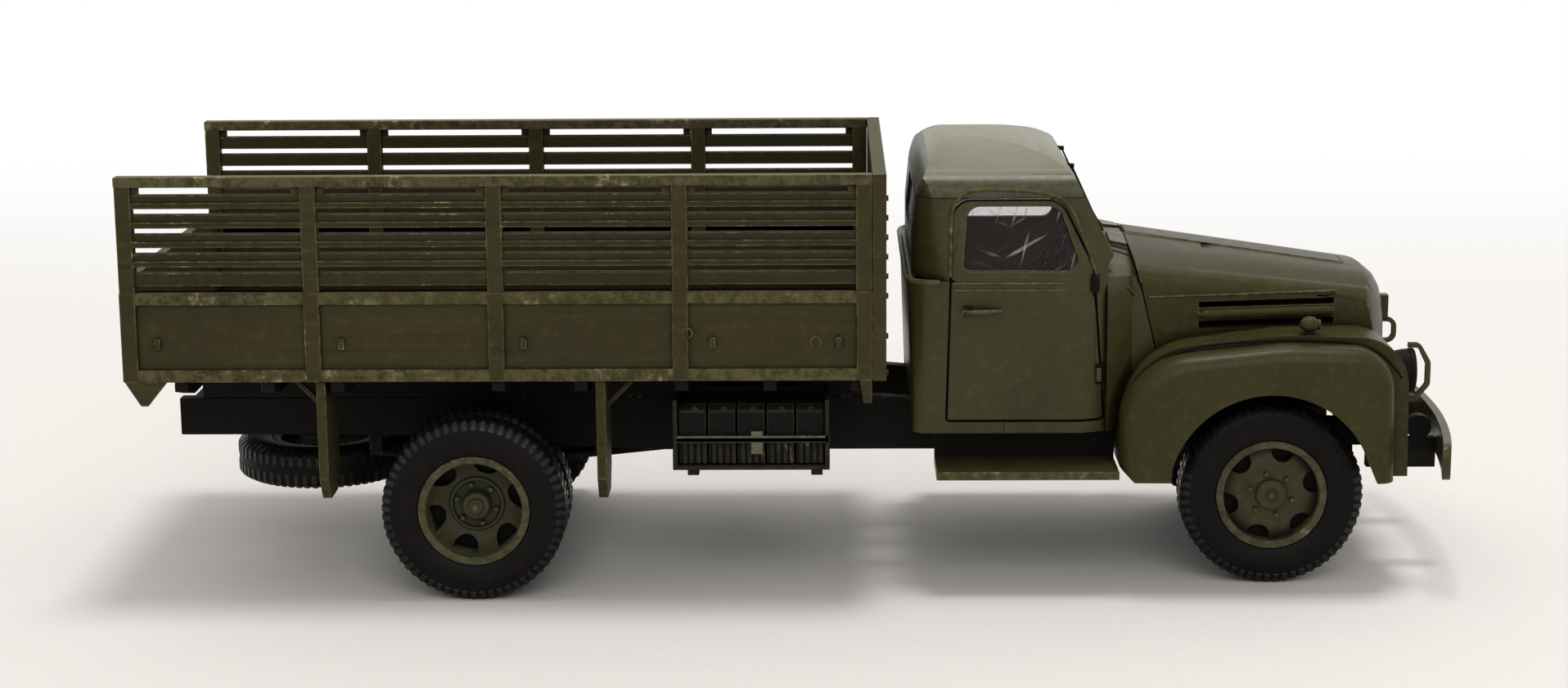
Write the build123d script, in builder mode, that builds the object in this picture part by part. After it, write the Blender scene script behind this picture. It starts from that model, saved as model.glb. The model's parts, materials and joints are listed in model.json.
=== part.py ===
from build123d import *
import os
from math import cos, radians, sin, sqrt

# A small plastic model of a 1940s army cargo truck, rear-wheel drive with twin rear wheels.
# Millimetres. +X is the nose, +Z is up, right-hand pieces are at -Y. The origin is on the ground,
# under the middle of the overall length. Stations called _x are along the truck, _z above ground.

# ---- Driving dimensions -------------------------------------------------------------------
wheelbase = 55.74
rear_overhang = 23.93  # rear axle to the tail of the bed
front_overhang = 13.40  # front axle to the bumper's face

fit_gap = 0.03  # between pieces that seat on each other
turn_gap = 0.05  # radial, round a wheel's spindle
seam = 0.08  # round each door

tyre_r = 6.43
tyre_w = 2.95
tread_w = 2.25
tyre_bulge_r = 4.95  # where the sidewall is widest
shoulder_r = 5.80
rim_r = 3.93
rim_w = 2.44
rim_wall = 0.59
disc_t = 0.30
hand_hole_count = 6
hand_hole_h = 1.10  # radially
hand_hole_w = 1.25
hub_r = 1.10
spindle_r = 0.50
front_tyre_y = 10.20  # centre of the front tyre
rear_tyre_y = 14.02  # centre of the outer rear tyre
twin_pitch = 3.35  # between the twins' centres

frame_half_w = 6.00
rail_web_t = 0.40
rail_flange_w = 1.10
rail_flange_t = 0.35
rail_top_z = 12.40

bed_w = 30.20
bed_side_l = 51.60
bed_front_t = 0.93
bed_wall_t = 0.62
stake_t = 1.00
stake_w = 1.12
bed_bottom_z = 15.57
bed_bottom_rail_h = 0.89
bed_mid_rail_z = 20.98
bed_mid_rail_h = 0.87
bed_top_z = 29.85
bed_top_rail_h = 0.72
slat_count = 5
slat_gap = 0.375
slat_end_gaps = (0.43, 0.125)  # under the lowest slat, and over the highest beyond one slat_gap
slat_t = 0.50
bed_floor_t = 0.80
tailgate_top_z = 22.70

cab_gap = 1.26  # bed to cab
cab_half_w = 12.10
cab_bottom_z = 11.10
cab_belt_z = 21.90
cab_gutter_z = 27.60
cab_top_z = 31.00
cab_wall = 0.55
cab_floor_t = 0.45
glass_t = 0.25

hood_front_x_gap = 4.04  # bumper's face back to the nose
fender_outer_y = 13.90
fender_wall = 0.50

# ---- Places worked out from them ----------------------------------------------------------
overall_l = rear_overhang + wheelbase + front_overhang
rear_axle_x = rear_overhang - overall_l / 2
front_axle_x = rear_axle_x + wheelbase
axle_z = tyre_r
bed_rear_x = rear_axle_x - rear_overhang
bed_front_x = bed_rear_x + bed_side_l
cab_x = bed_front_x + bed_front_t + cab_gap
bumper_face_x = front_axle_x + front_overhang
bed_half_w = bed_w / 2
inner_half_w = bed_half_w - stake_t

finished = {}


def keep(piece, name):
    """Label a finished piece and write it as its own STEP file."""
    piece.part.label = name
    export_step(piece.part, f"parts/{name}.step")
    finished[name] = piece


def keep_pair(piece, name):
    """Keep a right-hand piece and its mirror image."""
    keep(piece, f"{name}_right")
    with BuildPart() as twin:
        mirror(piece.part, about=Plane.XZ)
    keep(twin, f"{name}_left")


def keep_both(piece, name):
    """Keep a right-hand piece and its mirror image as one node of separate solids."""
    with BuildPart() as both:
        add(piece.part)
        mirror(piece.part, about=Plane.XZ)
    keep(both, name)


def block(x, y, z, mode=Mode.ADD):
    """A box from three (low, high) pairs, for use inside a part."""
    centre = [(low + high) / 2 for low, high in (x, y, z)]
    with Locations(tuple(centre)):
        Box(x[1] - x[0], y[1] - y[0], z[1] - z[0], mode=mode)


os.makedirs("parts", exist_ok=True)

# ---- Wheels -------------------------------------------------------------------------------
drum_in_r = rim_r - rim_wall
hub_end_t = 0.35


def tyre(axle, wheel_y):
    """One tyre as a turned ring, for use inside a part."""
    # half width, radius, from the bead to the tread's edge
    wall = [
        (rim_w / 2 - fit_gap, rim_r + fit_gap),
        (tyre_w / 2, tyre_bulge_r),
        (tyre_w / 2 - 0.06, shoulder_r),
        (tread_w / 2, tyre_r),
    ]
    outline = [(wheel_y + w, axle[1] + r) for w, r in wall]
    outline += [(wheel_y - w, axle[1] + r) for w, r in reversed(wall)]
    with BuildSketch(Plane.YZ.offset(axle[0])) as profile:
        with BuildLine():
            Polyline(*outline, close=True)
        make_face()
    revolve(profile.sketch, axis=Axis((axle[0], 0, axle[1]), (0, 1, 0)))


def rim(axle, wheel_y):
    """A turned rim, for use inside a part."""
    half = rim_w / 2
    outline = [(half, drum_in_r), (half, rim_r), (-half, rim_r), (-half, drum_in_r)]
    with BuildSketch(Plane.YZ.offset(axle[0])) as profile:
        with BuildLine():
            Polyline(*[(wheel_y - w, axle[1] + r) for w, r in outline], close=True)
        make_face()
    revolve(profile.sketch, axis=Axis((axle[0], 0, axle[1]), (0, 1, 0)))


def pressed_disc(axle, wheel_y, disc):
    """A dished disc without its rim. disc is (radius, depth) down its outer face, where depth is
    measured outwards from the wheel's middle; right-hand wheels look to -Y."""
    face = [(wheel_y - d, axle[1] + r) for r, d in disc]
    back = [(wheel_y - d + disc_t, axle[1] + r) for r, d in reversed(disc)]
    with BuildSketch(Plane.YZ.offset(axle[0])) as profile:
        with BuildLine():
            Polyline(*face, *back, close=True)
        make_face()
    revolve(profile.sketch, axis=Axis((axle[0], 0, axle[1]), (0, 1, 0)))


def hand_holes(axle, wheel_y):
    """The ring of holes next to the rim, for use inside a part that has its disc but not its rim."""
    with Locations(Plane.XZ.offset(-wheel_y) * Location((axle[0], axle[1], 0))):
        with PolarLocations(drum_in_r - 0.20, hand_hole_count, start_angle=30):
            Box(hand_hole_h, hand_hole_w, 2 * rim_w, mode=Mode.SUBTRACT)


# outer face of each disc: radius, depth outwards from the wheel's middle
front_disc = [(drum_in_r + 0.02, 0.45), (2.15, 0.85), (hub_r - 0.1, 0.85)]
rear_disc = [(drum_in_r + 0.02, 0.75), (2.15, -0.95), (hub_r - 0.1, -0.95)]
inner_disc = [(drum_in_r + 0.02, 0.35), (hub_r - 0.1, 0.35)]
front_axle = (front_axle_x, axle_z)
rear_axle = (rear_axle_x, axle_z)


def along_y(axle, radius, low, high, mode=Mode.ADD):
    """A round bar across the truck, for use inside a part."""
    with Locations(Location((axle[0], (low + high) / 2, axle[1]), (90, 0, 0))):
        Cylinder(radius, high - low, mode=mode)


front_hub_in = -(front_tyre_y - 1.45)
front_hub_out = -(front_tyre_y + 1.30)
rear_inner_y = rear_tyre_y - twin_pitch
rear_hub_in = -(rear_inner_y - 1.20)
rear_hub_out = -(rear_tyre_y + 0.20)

with BuildPart() as front_tyre:
    tyre(front_axle, -front_tyre_y)
keep_pair(front_tyre, "front_tyre")

with BuildPart() as front_wheel:
    pressed_disc(front_axle, -front_tyre_y, front_disc)
    hand_holes(front_axle, -front_tyre_y)
    rim(front_axle, -front_tyre_y)
    along_y(front_axle, hub_r, front_hub_out, front_hub_in)
    along_y(front_axle, spindle_r + turn_gap, front_hub_out + hub_end_t, front_hub_in, Mode.SUBTRACT)
keep_pair(front_wheel, "front_wheel")

with BuildPart() as rear_tyres:
    tyre(rear_axle, -rear_tyre_y)
    tyre(rear_axle, -rear_inner_y)
keep_pair(rear_tyres, "rear_tyres")

with BuildPart() as rear_wheels:
    pressed_disc(rear_axle, -rear_tyre_y, rear_disc)
    hand_holes(rear_axle, -rear_tyre_y)
    rim(rear_axle, -rear_tyre_y)
    pressed_disc(rear_axle, -rear_inner_y, inner_disc)
    rim(rear_axle, -rear_inner_y)
    along_y(rear_axle, hub_r, rear_hub_out, rear_hub_in)
    along_y(rear_axle, spindle_r + turn_gap, rear_hub_out + hub_end_t, rear_hub_in, Mode.SUBTRACT)
keep_pair(rear_wheels, "rear_wheels")

# ---- Frame --------------------------------------------------------------------------------
# rail outline: x from the rear axle, z
rail_top = [(-22.2, rail_top_z), (28.5, rail_top_z), (46.0, 11.0), (63.3, 10.6)]
rail_bottom = [(63.3, 8.7), (46.0, 8.5), (11.5, 8.5), (-7.5, 9.7), (-22.2, 9.7)]
rail_line = [(rear_axle_x + x, z) for x, z in rail_top + rail_bottom]
web_inner_y = frame_half_w - rail_web_t


def rail_bottom_at(x):
    """Height of the rail's underside at a station along the truck."""
    ends = [(rear_axle_x + from_axle, z) for from_axle, z in reversed(rail_bottom)]
    for (x0, z0), (x1, z1) in zip(ends, ends[1:]):
        if x <= x1:
            return z0 + (z1 - z0) * (x - x0) / (x1 - x0)
    return ends[-1][1]


with BuildPart() as frame_rail:
    with BuildSketch(Plane.XZ.offset(frame_half_w)):
        with BuildLine():
            Polyline(*rail_line, close=True)
        make_face()
    extrude(amount=-rail_flange_w)
    with BuildSketch(Plane.XZ.offset(web_inner_y)):
        with BuildLine():
            Polyline(*rail_line, close=True)
        make_face()
        offset(amount=-rail_flange_t, kind=Kind.INTERSECTION, mode=Mode.REPLACE)
    extrude(amount=-rail_flange_w, mode=Mode.SUBTRACT)
keep_both(frame_rail, "frame_rails")

# crossmembers: x from the rear axle, bottom z, height, width along the truck
crossmember_rows = [
    (-21.4, 10.2, 1.7, 0.8),
    (-12.8, 10.2, 1.7, 0.9),
    (-2.0, 10.2, 1.7, 0.8),
    (11.5, 10.2, 1.5, 0.8),
    (26.0, 10.2, 1.5, 0.8),
    (44.0, 8.9, 0.37, 0.8),
    (62.5, 9.2, 0.95, 0.8),
]
with BuildPart() as crossmembers:
    for from_axle, low_z, height, width in crossmember_rows:
        at = rear_axle_x + from_axle
        span = web_inner_y - fit_gap
        block((at - width / 2, at + width / 2), (-span, span), (low_z, low_z + height))
keep(crossmembers, "frame_crossmembers")

# ---- Axles and springs --------------------------------------------------------------------
spring_y = frame_half_w - rail_flange_w / 2
spring_w = 0.90
leaf_t = 0.26
spring_rows = 3
hanger_w = 0.90
diff_r = 2.00
axle_tube_r = 0.80


def leaf_spring(axle_x, seat_z, rise, half_l):
    """A pack of bowed leaves, each shorter than the one above, with its hangers under the rail,
    for use inside a part."""
    for leaf in range(spring_rows):
        reach = half_l * (1 - 0.22 * leaf)
        low = seat_z + leaf_t * (spring_rows - 1 - leaf)
        end = low + rise * (reach / half_l) ** 2
        with BuildSketch(Plane.XZ.offset(spring_y + spring_w / 2)) as profile:
            with BuildLine():
                ThreePointArc((axle_x - reach, end), (axle_x, low), (axle_x + reach, end))
                Line((axle_x + reach, end), (axle_x + reach, end + leaf_t))
                ThreePointArc(
                    (axle_x + reach, end + leaf_t), (axle_x, low + leaf_t), (axle_x - reach, end + leaf_t)
                )
                Line((axle_x - reach, end + leaf_t), (axle_x - reach, end))
            make_face()
        extrude(profile.sketch, amount=-spring_w)
    eye_z = seat_z + leaf_t * (spring_rows - 1) + rise
    for end in (-1, 1):
        eye_x = axle_x + end * (half_l - hanger_w / 2)
        top_z = min(rail_bottom_at(eye_x - hanger_w / 2), rail_bottom_at(eye_x + hanger_w / 2)) - fit_gap
        block(
            (eye_x - hanger_w / 2, eye_x + hanger_w / 2),
            (-spring_y - spring_w / 2, -spring_y + spring_w / 2),
            (eye_z, top_z),
        )


front_beam_top_z = 5.85
with BuildPart() as rear_spring:
    leaf_spring(rear_axle_x, axle_z + axle_tube_r + fit_gap, 0.35, 8.6)
keep_both(rear_spring, "rear_springs")

with BuildPart() as rear_axle_casing:
    along_y(rear_axle, axle_tube_r, -(rear_inner_y - 1.30), rear_inner_y - 1.30)
    along_y(rear_axle, spindle_r, rear_hub_out + hub_end_t + turn_gap, -(rear_hub_out + hub_end_t + turn_gap))
    with Locations(Location((rear_axle_x, 0, axle_z), (0, 90, 0))):
        Cylinder(diff_r, 1.6)
        Cone(diff_r * 0.9, diff_r * 0.35, 2.4, align=(Align.CENTER, Align.CENTER, Align.MIN))
keep(rear_axle_casing, "rear_axle")

king_y = front_tyre_y - 2.35
with BuildPart() as front_beam:
    with BuildSketch(Plane.YZ.offset(front_axle_x - 0.45)):
        with BuildLine():
            Polyline(
                (-king_y, 6.80),
                (-king_y, 5.90),
                (-king_y + 1.3, 4.95),
                (king_y - 1.3, 4.95),
                (king_y, 5.90),
                (king_y, 6.80),
                (king_y - 1.5, 5.85),
                (-king_y + 1.5, 5.85),
                close=True,
            )
        make_face()
    extrude(amount=0.90)
keep(front_beam, "front_axle_beam")

with BuildPart() as knuckle:
    along_y(front_axle, 0.75, -(king_y + 0.55), -(king_y + fit_gap))
    along_y(front_axle, spindle_r, front_hub_out + hub_end_t + turn_gap, -(king_y + fit_gap))
keep_both(knuckle, "steering_knuckles")

with BuildPart() as front_spring:
    leaf_spring(front_axle_x, front_beam_top_z + fit_gap, 0.90, 6.6)
keep_both(front_spring, "front_springs")

# ---- Engine and drive ---------------------------------------------------------------------
engine_x = front_axle_x - 6.4
gearbox_x = engine_x - 8.0
with BuildPart() as engine:
    block((engine_x, engine_x + 10.2), (-2.6, 2.6), (8.6, 18.0))
    block((gearbox_x, engine_x), (-1.5, 1.5), (9.3, 12.0))
keep(engine, "engine_block")

shaft_r = 0.42
shaft_rear = (rear_axle_x + 2.4 + fit_gap, axle_z)
shaft_front = (gearbox_x - fit_gap, 10.4)
with BuildPart() as drive_shaft:
    with BuildSketch(Plane.YZ.offset(shaft_rear[0])):
        with Locations((0, shaft_rear[1])):
            Circle(shaft_r)
    with BuildSketch(Plane.YZ.offset(shaft_front[0])):
        with Locations((0, shaft_front[1])):
            Circle(shaft_r)
    loft()
keep(drive_shaft, "drive_shaft")

with BuildPart() as radiator:
    block((front_axle_x + 5.2, front_axle_x + 6.1), (-4.6, 4.6), (10.8, 19.3))
keep(radiator, "radiator")

# ---- Spare wheel, flat under the tail ------------------------------------------------------
spare_x = rear_axle_x - 12.80
spare_z = 7.05
with BuildPart() as spare_at_hub:
    tyre((0, 0), 0)
with BuildPart() as spare_tyre:
    add(spare_at_hub.part.rotate(Axis.X, 90).moved(Location((spare_x, 0, spare_z))))
keep(spare_tyre, "spare_tyre")
with BuildPart() as spare_disc_at_hub:
    pressed_disc((0, 0), 0, front_disc)
    hand_holes((0, 0), 0)
    rim((0, 0), 0)
with BuildPart() as spare_wheel:
    add(spare_disc_at_hub.part.rotate(Axis.X, 90).moved(Location((spare_x, 0, spare_z))))
keep(spare_wheel, "spare_wheel")

with BuildPart() as spare_carrier:
    block((spare_x - 0.6, spare_x + 0.6), (-frame_half_w, frame_half_w), (8.95, rail_bottom[-1][1] - fit_gap))
    with Locations((spare_x, 0, (5.3 + 8.95) / 2)):
        Cylinder(0.40, 8.95 - 5.3)
keep(spare_carrier, "spare_carrier")

# ---- Cargo bed ----------------------------------------------------------------------------
stake_pitch = (bed_side_l - stake_w) / 4
stake_xs = [bed_rear_x + stake_w / 2 + i * stake_pitch for i in range(5)]
rack_bottom_z = bed_mid_rail_z + bed_mid_rail_h
slat_pitch = (bed_top_z - bed_top_rail_h - rack_bottom_z - sum(slat_end_gaps)) / slat_count
slat_h = slat_pitch - slat_gap
slat_zs = [rack_bottom_z + slat_end_gaps[0] + i * slat_pitch for i in range(slat_count)]
side_y = (-bed_half_w, -inner_half_w)
wall_y = (-bed_half_w + 0.28, -inner_half_w)
slat_y = (-bed_half_w + 0.22, -bed_half_w + 0.22 + slat_t)

bearer_inset = 0.30  # the bearers stop this short of the bed's side
latch_xs = [bed_rear_x + stake_w / 2 + (i + 0.5) * stake_pitch for i in range(4)]
with BuildPart() as bed_side:
    block((bed_rear_x, bed_front_x), wall_y, (bed_bottom_z, rack_bottom_z))
    block((bed_rear_x, bed_front_x), side_y, (bed_bottom_z, bed_bottom_z + bed_bottom_rail_h))
    block((bed_rear_x, bed_front_x), side_y, (bed_mid_rail_z, rack_bottom_z))
    for at in stake_xs:
        block((at - stake_w / 2, at + stake_w / 2), side_y, (bed_bottom_z, rack_bottom_z))
    for at in latch_xs:
        block((at - 0.45, at + 0.45), (wall_y[0] - 0.22, wall_y[0] + 0.1), (19.15, 19.75))
    # gusset under the rear corner, tab under the front one
    for low_x, high_x, low_z in ((bed_rear_x, bed_rear_x + 2.6, 13.9), (bed_front_x - 1.0, bed_front_x, 14.0)):
        with BuildSketch(Plane.XZ.offset(bed_half_w)):
            with BuildLine():
                outer = low_x if low_x < 0 else high_x
                inner = high_x if low_x < 0 else low_x
                step = 0.5 if outer < inner else -0.5
                top = bed_bottom_z + 0.1
                Polyline((outer, top), (outer, low_z), (outer + step, low_z), (inner, top), close=True)
            make_face()
        extrude(amount=-bearer_inset + fit_gap)
keep_pair(bed_side, "bed_side")

with BuildPart() as side_rack:
    block((bed_rear_x, bed_front_x), side_y, (bed_top_z - bed_top_rail_h, bed_top_z))
    for at in stake_xs:
        block((at - stake_w / 2, at + stake_w / 2), side_y, (rack_bottom_z, bed_top_z))
    for low_z in slat_zs:
        block((bed_rear_x + stake_w / 2, bed_front_x - stake_w / 2), slat_y, (low_z, low_z + slat_h))
keep_pair(side_rack, "side_rack")

front_x = (bed_front_x, bed_front_x + bed_front_t)
front_slat_x = (bed_front_x + 0.2, bed_front_x + bed_front_t - 0.25)
front_post_ys = [-bed_half_w + 0.6, -5.0, 5.0, bed_half_w - 0.6]
with BuildPart() as front_rack:
    block(front_slat_x, (-bed_half_w, bed_half_w), (bed_bottom_z, rack_bottom_z))
    block(front_x, (-bed_half_w, bed_half_w), (bed_bottom_z, bed_bottom_z + bed_bottom_rail_h))
    block(front_x, (-bed_half_w, bed_half_w), (bed_mid_rail_z, rack_bottom_z))
    block(front_x, (-bed_half_w, bed_half_w), (bed_top_z - bed_top_rail_h, bed_top_z))
    for at in front_post_ys:
        block(front_x, (at - 0.6, at + 0.6), (bed_bottom_z, bed_top_z))
    for low_z in slat_zs:
        block(front_slat_x, (-bed_half_w + 0.6, bed_half_w - 0.6), (low_z, low_z + slat_h))
keep(front_rack, "front_rack")

gate_t = 0.70
gate_half_w = inner_half_w - fit_gap
with BuildPart() as tailgate:
    block((bed_rear_x + 0.2, bed_rear_x + 0.2 + gate_t - 0.2), (-gate_half_w, gate_half_w), (bed_bottom_z, tailgate_top_z))
    for low_z, high_z in (
        (bed_bottom_z, bed_bottom_z + bed_bottom_rail_h),
        (tailgate_top_z - bed_mid_rail_h, tailgate_top_z),
    ):
        block((bed_rear_x, bed_rear_x + 0.2 + gate_t - 0.2), (-gate_half_w, gate_half_w), (low_z, high_z))
    for at in (-gate_half_w + 0.5, -4.7, 4.7, gate_half_w - 0.5):
        block((bed_rear_x, bed_rear_x + gate_t), (at - 0.5, at + 0.5), (bed_bottom_z, tailgate_top_z))
keep(tailgate, "tailgate")

floor_x = (bed_rear_x + gate_t + fit_gap, bed_front_x - fit_gap)
strip_count = 6
with BuildPart() as bed_floor:
    block(floor_x, (-gate_half_w, gate_half_w), (bed_bottom_z, bed_bottom_z + bed_floor_t))
    strip_pitch = 2 * gate_half_w / (strip_count + 1)
    for i in range(strip_count):
        at = -gate_half_w + (i + 1) * strip_pitch
        top = bed_bottom_z + bed_floor_t
        block(floor_x, (at - 0.25, at + 0.25), (top, top + 0.15))
keep(bed_floor, "bed_floor")

bearer_rows = (-20.0, -14.0, -9.2, 1.9, 7.6, 14.5, 20.6, 26.6)  # x from the rear axle
bearer_h = 1.30
bearer_w = 0.90
sill_x = (rear_axle_x - 20.5, bed_front_x)
sill_y = (-frame_half_w, -frame_half_w + rail_flange_w)
with BuildPart() as bed_bearers:
    for from_axle in bearer_rows:
        with BuildSketch(Plane.YZ.offset(rear_axle_x + from_axle - bearer_w / 2)):
            with BuildLine():
                Polyline(
                    (-bed_half_w + bearer_inset, bed_bottom_z - fit_gap),
                    (-bed_half_w + bearer_inset, bed_bottom_z - 0.7),
                    (-bed_half_w + 2.6, bed_bottom_z - bearer_h),
                    (bed_half_w - 2.6, bed_bottom_z - bearer_h),
                    (bed_half_w - bearer_inset, bed_bottom_z - 0.7),
                    (bed_half_w - bearer_inset, bed_bottom_z - fit_gap),
                    close=True,
                )
            make_face()
        extrude(amount=bearer_w)
keep(bed_bearers, "bed_bearers")

with BuildPart() as bed_sill:
    block(sill_x, sill_y, (rail_top_z + fit_gap, bed_bottom_z - bearer_h - fit_gap))
keep_both(bed_sill, "bed_sills")

# splash boards: x from the rear axle, lean of the brace, bottom z
splash_rows = [(-10.70, -1, 7.0), (8.60, 1, 7.0)]
splash_t = 0.67
splash_y = (-bed_half_w + 0.30, -bed_half_w + 4.80)
with BuildPart() as splash_boards:
    for from_axle, lean, low_z in splash_rows:
        at = rear_axle_x + from_axle
        with BuildSketch(Plane.YZ.offset(at)):
            with BuildLine():
                Polyline(
                    (splash_y[0], bed_bottom_z - fit_gap),
                    (splash_y[0], low_z + 1.6),
                    (splash_y[0] + 1.0, low_z),
                    (splash_y[1] - 1.0, low_z),
                    (splash_y[1], low_z + 1.6),
                    (splash_y[1], bed_bottom_z - fit_gap),
                    close=True,
                )
            make_face()
        extrude(amount=splash_t)
        face_x = at if lean < 0 else at + splash_t
        with BuildSketch(Plane.XZ.offset(bed_half_w - 2.3)):
            with BuildLine():
                Polyline(
                    (face_x, 13.7),
                    (face_x, 13.2),
                    (face_x + lean * 2.3, bed_bottom_z - fit_gap),
                    (face_x + lean * 1.8, bed_bottom_z - fit_gap),
                    close=True,
                )
            make_face()
        extrude(amount=-0.5)
keep_both(splash_boards, "splash_boards")

# ---- Can rack on the right, fuel tank on the left ------------------------------------------
rack_x = (rear_axle_x + 13.8, rear_axle_x + 24.7)
rack_y = (-bed_half_w + 1.10, -bed_half_w + 5.90)
rack_z = (9.00, 14.00)
rack_plate_t = 0.35
with BuildPart() as can_rack:
    block(rack_x, rack_y, (rack_z[0], rack_z[0] + rack_plate_t))
    block(rack_x, (rack_y[1] - rack_plate_t, rack_y[1]), rack_z)
    for low_x in (rack_x[0], rack_x[1] - rack_plate_t):
        block((low_x, low_x + rack_plate_t), rack_y, rack_z)
    block(rack_x, (rack_y[0], rack_y[0] + 0.3), (10.95, 11.35))
    for at in (rack_x[0] + 1.4, rack_x[1] - 0.9):
        block((at - 0.4, at + 0.4), (rack_y[0] + 0.5, rack_y[0] + 1.3), (rack_z[0] - 0.5, rack_z[0]))
        block((at - 0.4, at + 0.4), (rack_y[1], -frame_half_w - fit_gap), (10.2, 11.6))
keep(can_rack, "can_rack")

can_count = 5
can_h = 4.20
with BuildPart() as cans:
    room = rack_x[1] - rack_x[0] - 2 * rack_plate_t
    can_pitch = room / can_count
    for i in range(can_count):
        low_x = rack_x[0] + rack_plate_t + i * can_pitch + 0.06
        low_z = rack_z[0] + rack_plate_t + fit_gap
        block(
            (low_x, low_x + can_pitch - 0.12),
            (rack_y[0] + 0.3 + fit_gap, rack_y[1] - rack_plate_t - fit_gap),
            (low_z, low_z + can_h),
        )
    chamfer(cans.edges().filter_by(Axis.X).group_by(Axis.Z)[-1], 0.45)
keep(cans, "jerrycans")

tank_x = (rear_axle_x + 12.5, rear_axle_x + 25.0)
tank_y = (bed_half_w - 6.30, bed_half_w - 1.30)
tank_z = (8.80, 13.60)
with BuildPart() as fuel_tank:
    block(tank_x, tank_y, tank_z)
    fillet(fuel_tank.edges().filter_by(Axis.X), 1.2)
    for at in (tank_x[0] + 2.5, tank_x[1] - 2.5):
        block((at - 0.4, at + 0.4), (frame_half_w + fit_gap, tank_y[0] + 0.3), (10.2, 11.6))
keep(fuel_tank, "fuel_tank")

# ---- Cab ----------------------------------------------------------------------------------
# side outline of the cab: x from the cab's back, z
cab_front_x = 16.10  # to the hood's joint, at its top
joint_top_z = 23.30
joint_slope = 0.24  # the joint runs forward as it goes down
screen_base = (14.60, 23.50)
screen_head = (11.90, 28.90)


def joint_x(z):
    """Station of the joint between cab and hood at a height."""
    return cab_x + cab_front_x + joint_slope * (joint_top_z - z)


hood_rear_half_w = 9.45
# cowl sections: x from the cab's back, half width, top z, crown, shoulder
cowl_rows = [
    (14.15, cab_half_w - 0.50, 23.60, 1.0, 1.9),
    (16.10, hood_rear_half_w, 23.50, 1.3, 1.7),
    (19.00, hood_rear_half_w - 0.37, 23.10, 1.3, 1.7),
]
# the cab from the front: how far in from its widest, z
side_rows = [(0.15, cab_bottom_z - 1), (0.0, 20.5), (0.15, 23.0), (0.85, cab_gutter_z)]
roof_corner = [(1.35, cab_gutter_z + 1.10), (2.70, cab_gutter_z + 1.75)]
upper_set_in = 0.35  # the cab above the belt stands in by this at the back
back_lean = 0.40


def arch(at, half_w, top_z, crown, shoulder):
    """A cross-section with a crowned top and faceted shoulders, as a sketch."""
    edge_z = top_z - crown
    d = shoulder * (1 - sqrt(0.5))
    half = [
        (half_w, cab_bottom_z),
        (half_w, edge_z - shoulder),
        (half_w - d, edge_z - d),
        (half_w - shoulder, edge_z),
        ((half_w - shoulder) * 0.55, edge_z + crown * 0.72),
    ]
    with BuildSketch(Plane.YZ.offset(at)) as section:
        with BuildLine():
            Polyline(*half, (0, top_z), *[(-y, z) for y, z in reversed(half)], close=True)
        make_face()
    return section.sketch


def cab_plan(set_in, corner, inset):
    """The cab seen from above, its back set in, with rounded rear corners, as a sketch."""
    with BuildSketch(Plane.XY) as plan:
        with BuildLine():
            back, w, nose = cab_x + set_in, cab_half_w, cab_x + 15.5
            d = corner * (1 - sqrt(0.5))
            Line((back, -w + corner), (back, w - corner))
            ThreePointArc((back, w - corner), (back + d, w - d), (back + corner, w))
            Line((back + corner, w), (cab_x + 10.8, w))
            ThreePointArc((cab_x + 10.8, w), (cab_x + 13.4, w - 0.50), (nose, w - 2.10))
            Line((nose, w - 2.10), (nose, 2.10 - w))
            ThreePointArc((nose, 2.10 - w), (cab_x + 13.4, 0.50 - w), (cab_x + 10.8, -w))
            Line((cab_x + 10.8, -w), (back + corner, -w))
            ThreePointArc((back + corner, -w), (back + d, -w + d), (back, -w + corner))
        make_face()
        if inset:
            offset(amount=-inset, mode=Mode.REPLACE)
    return plan.sketch


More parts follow.
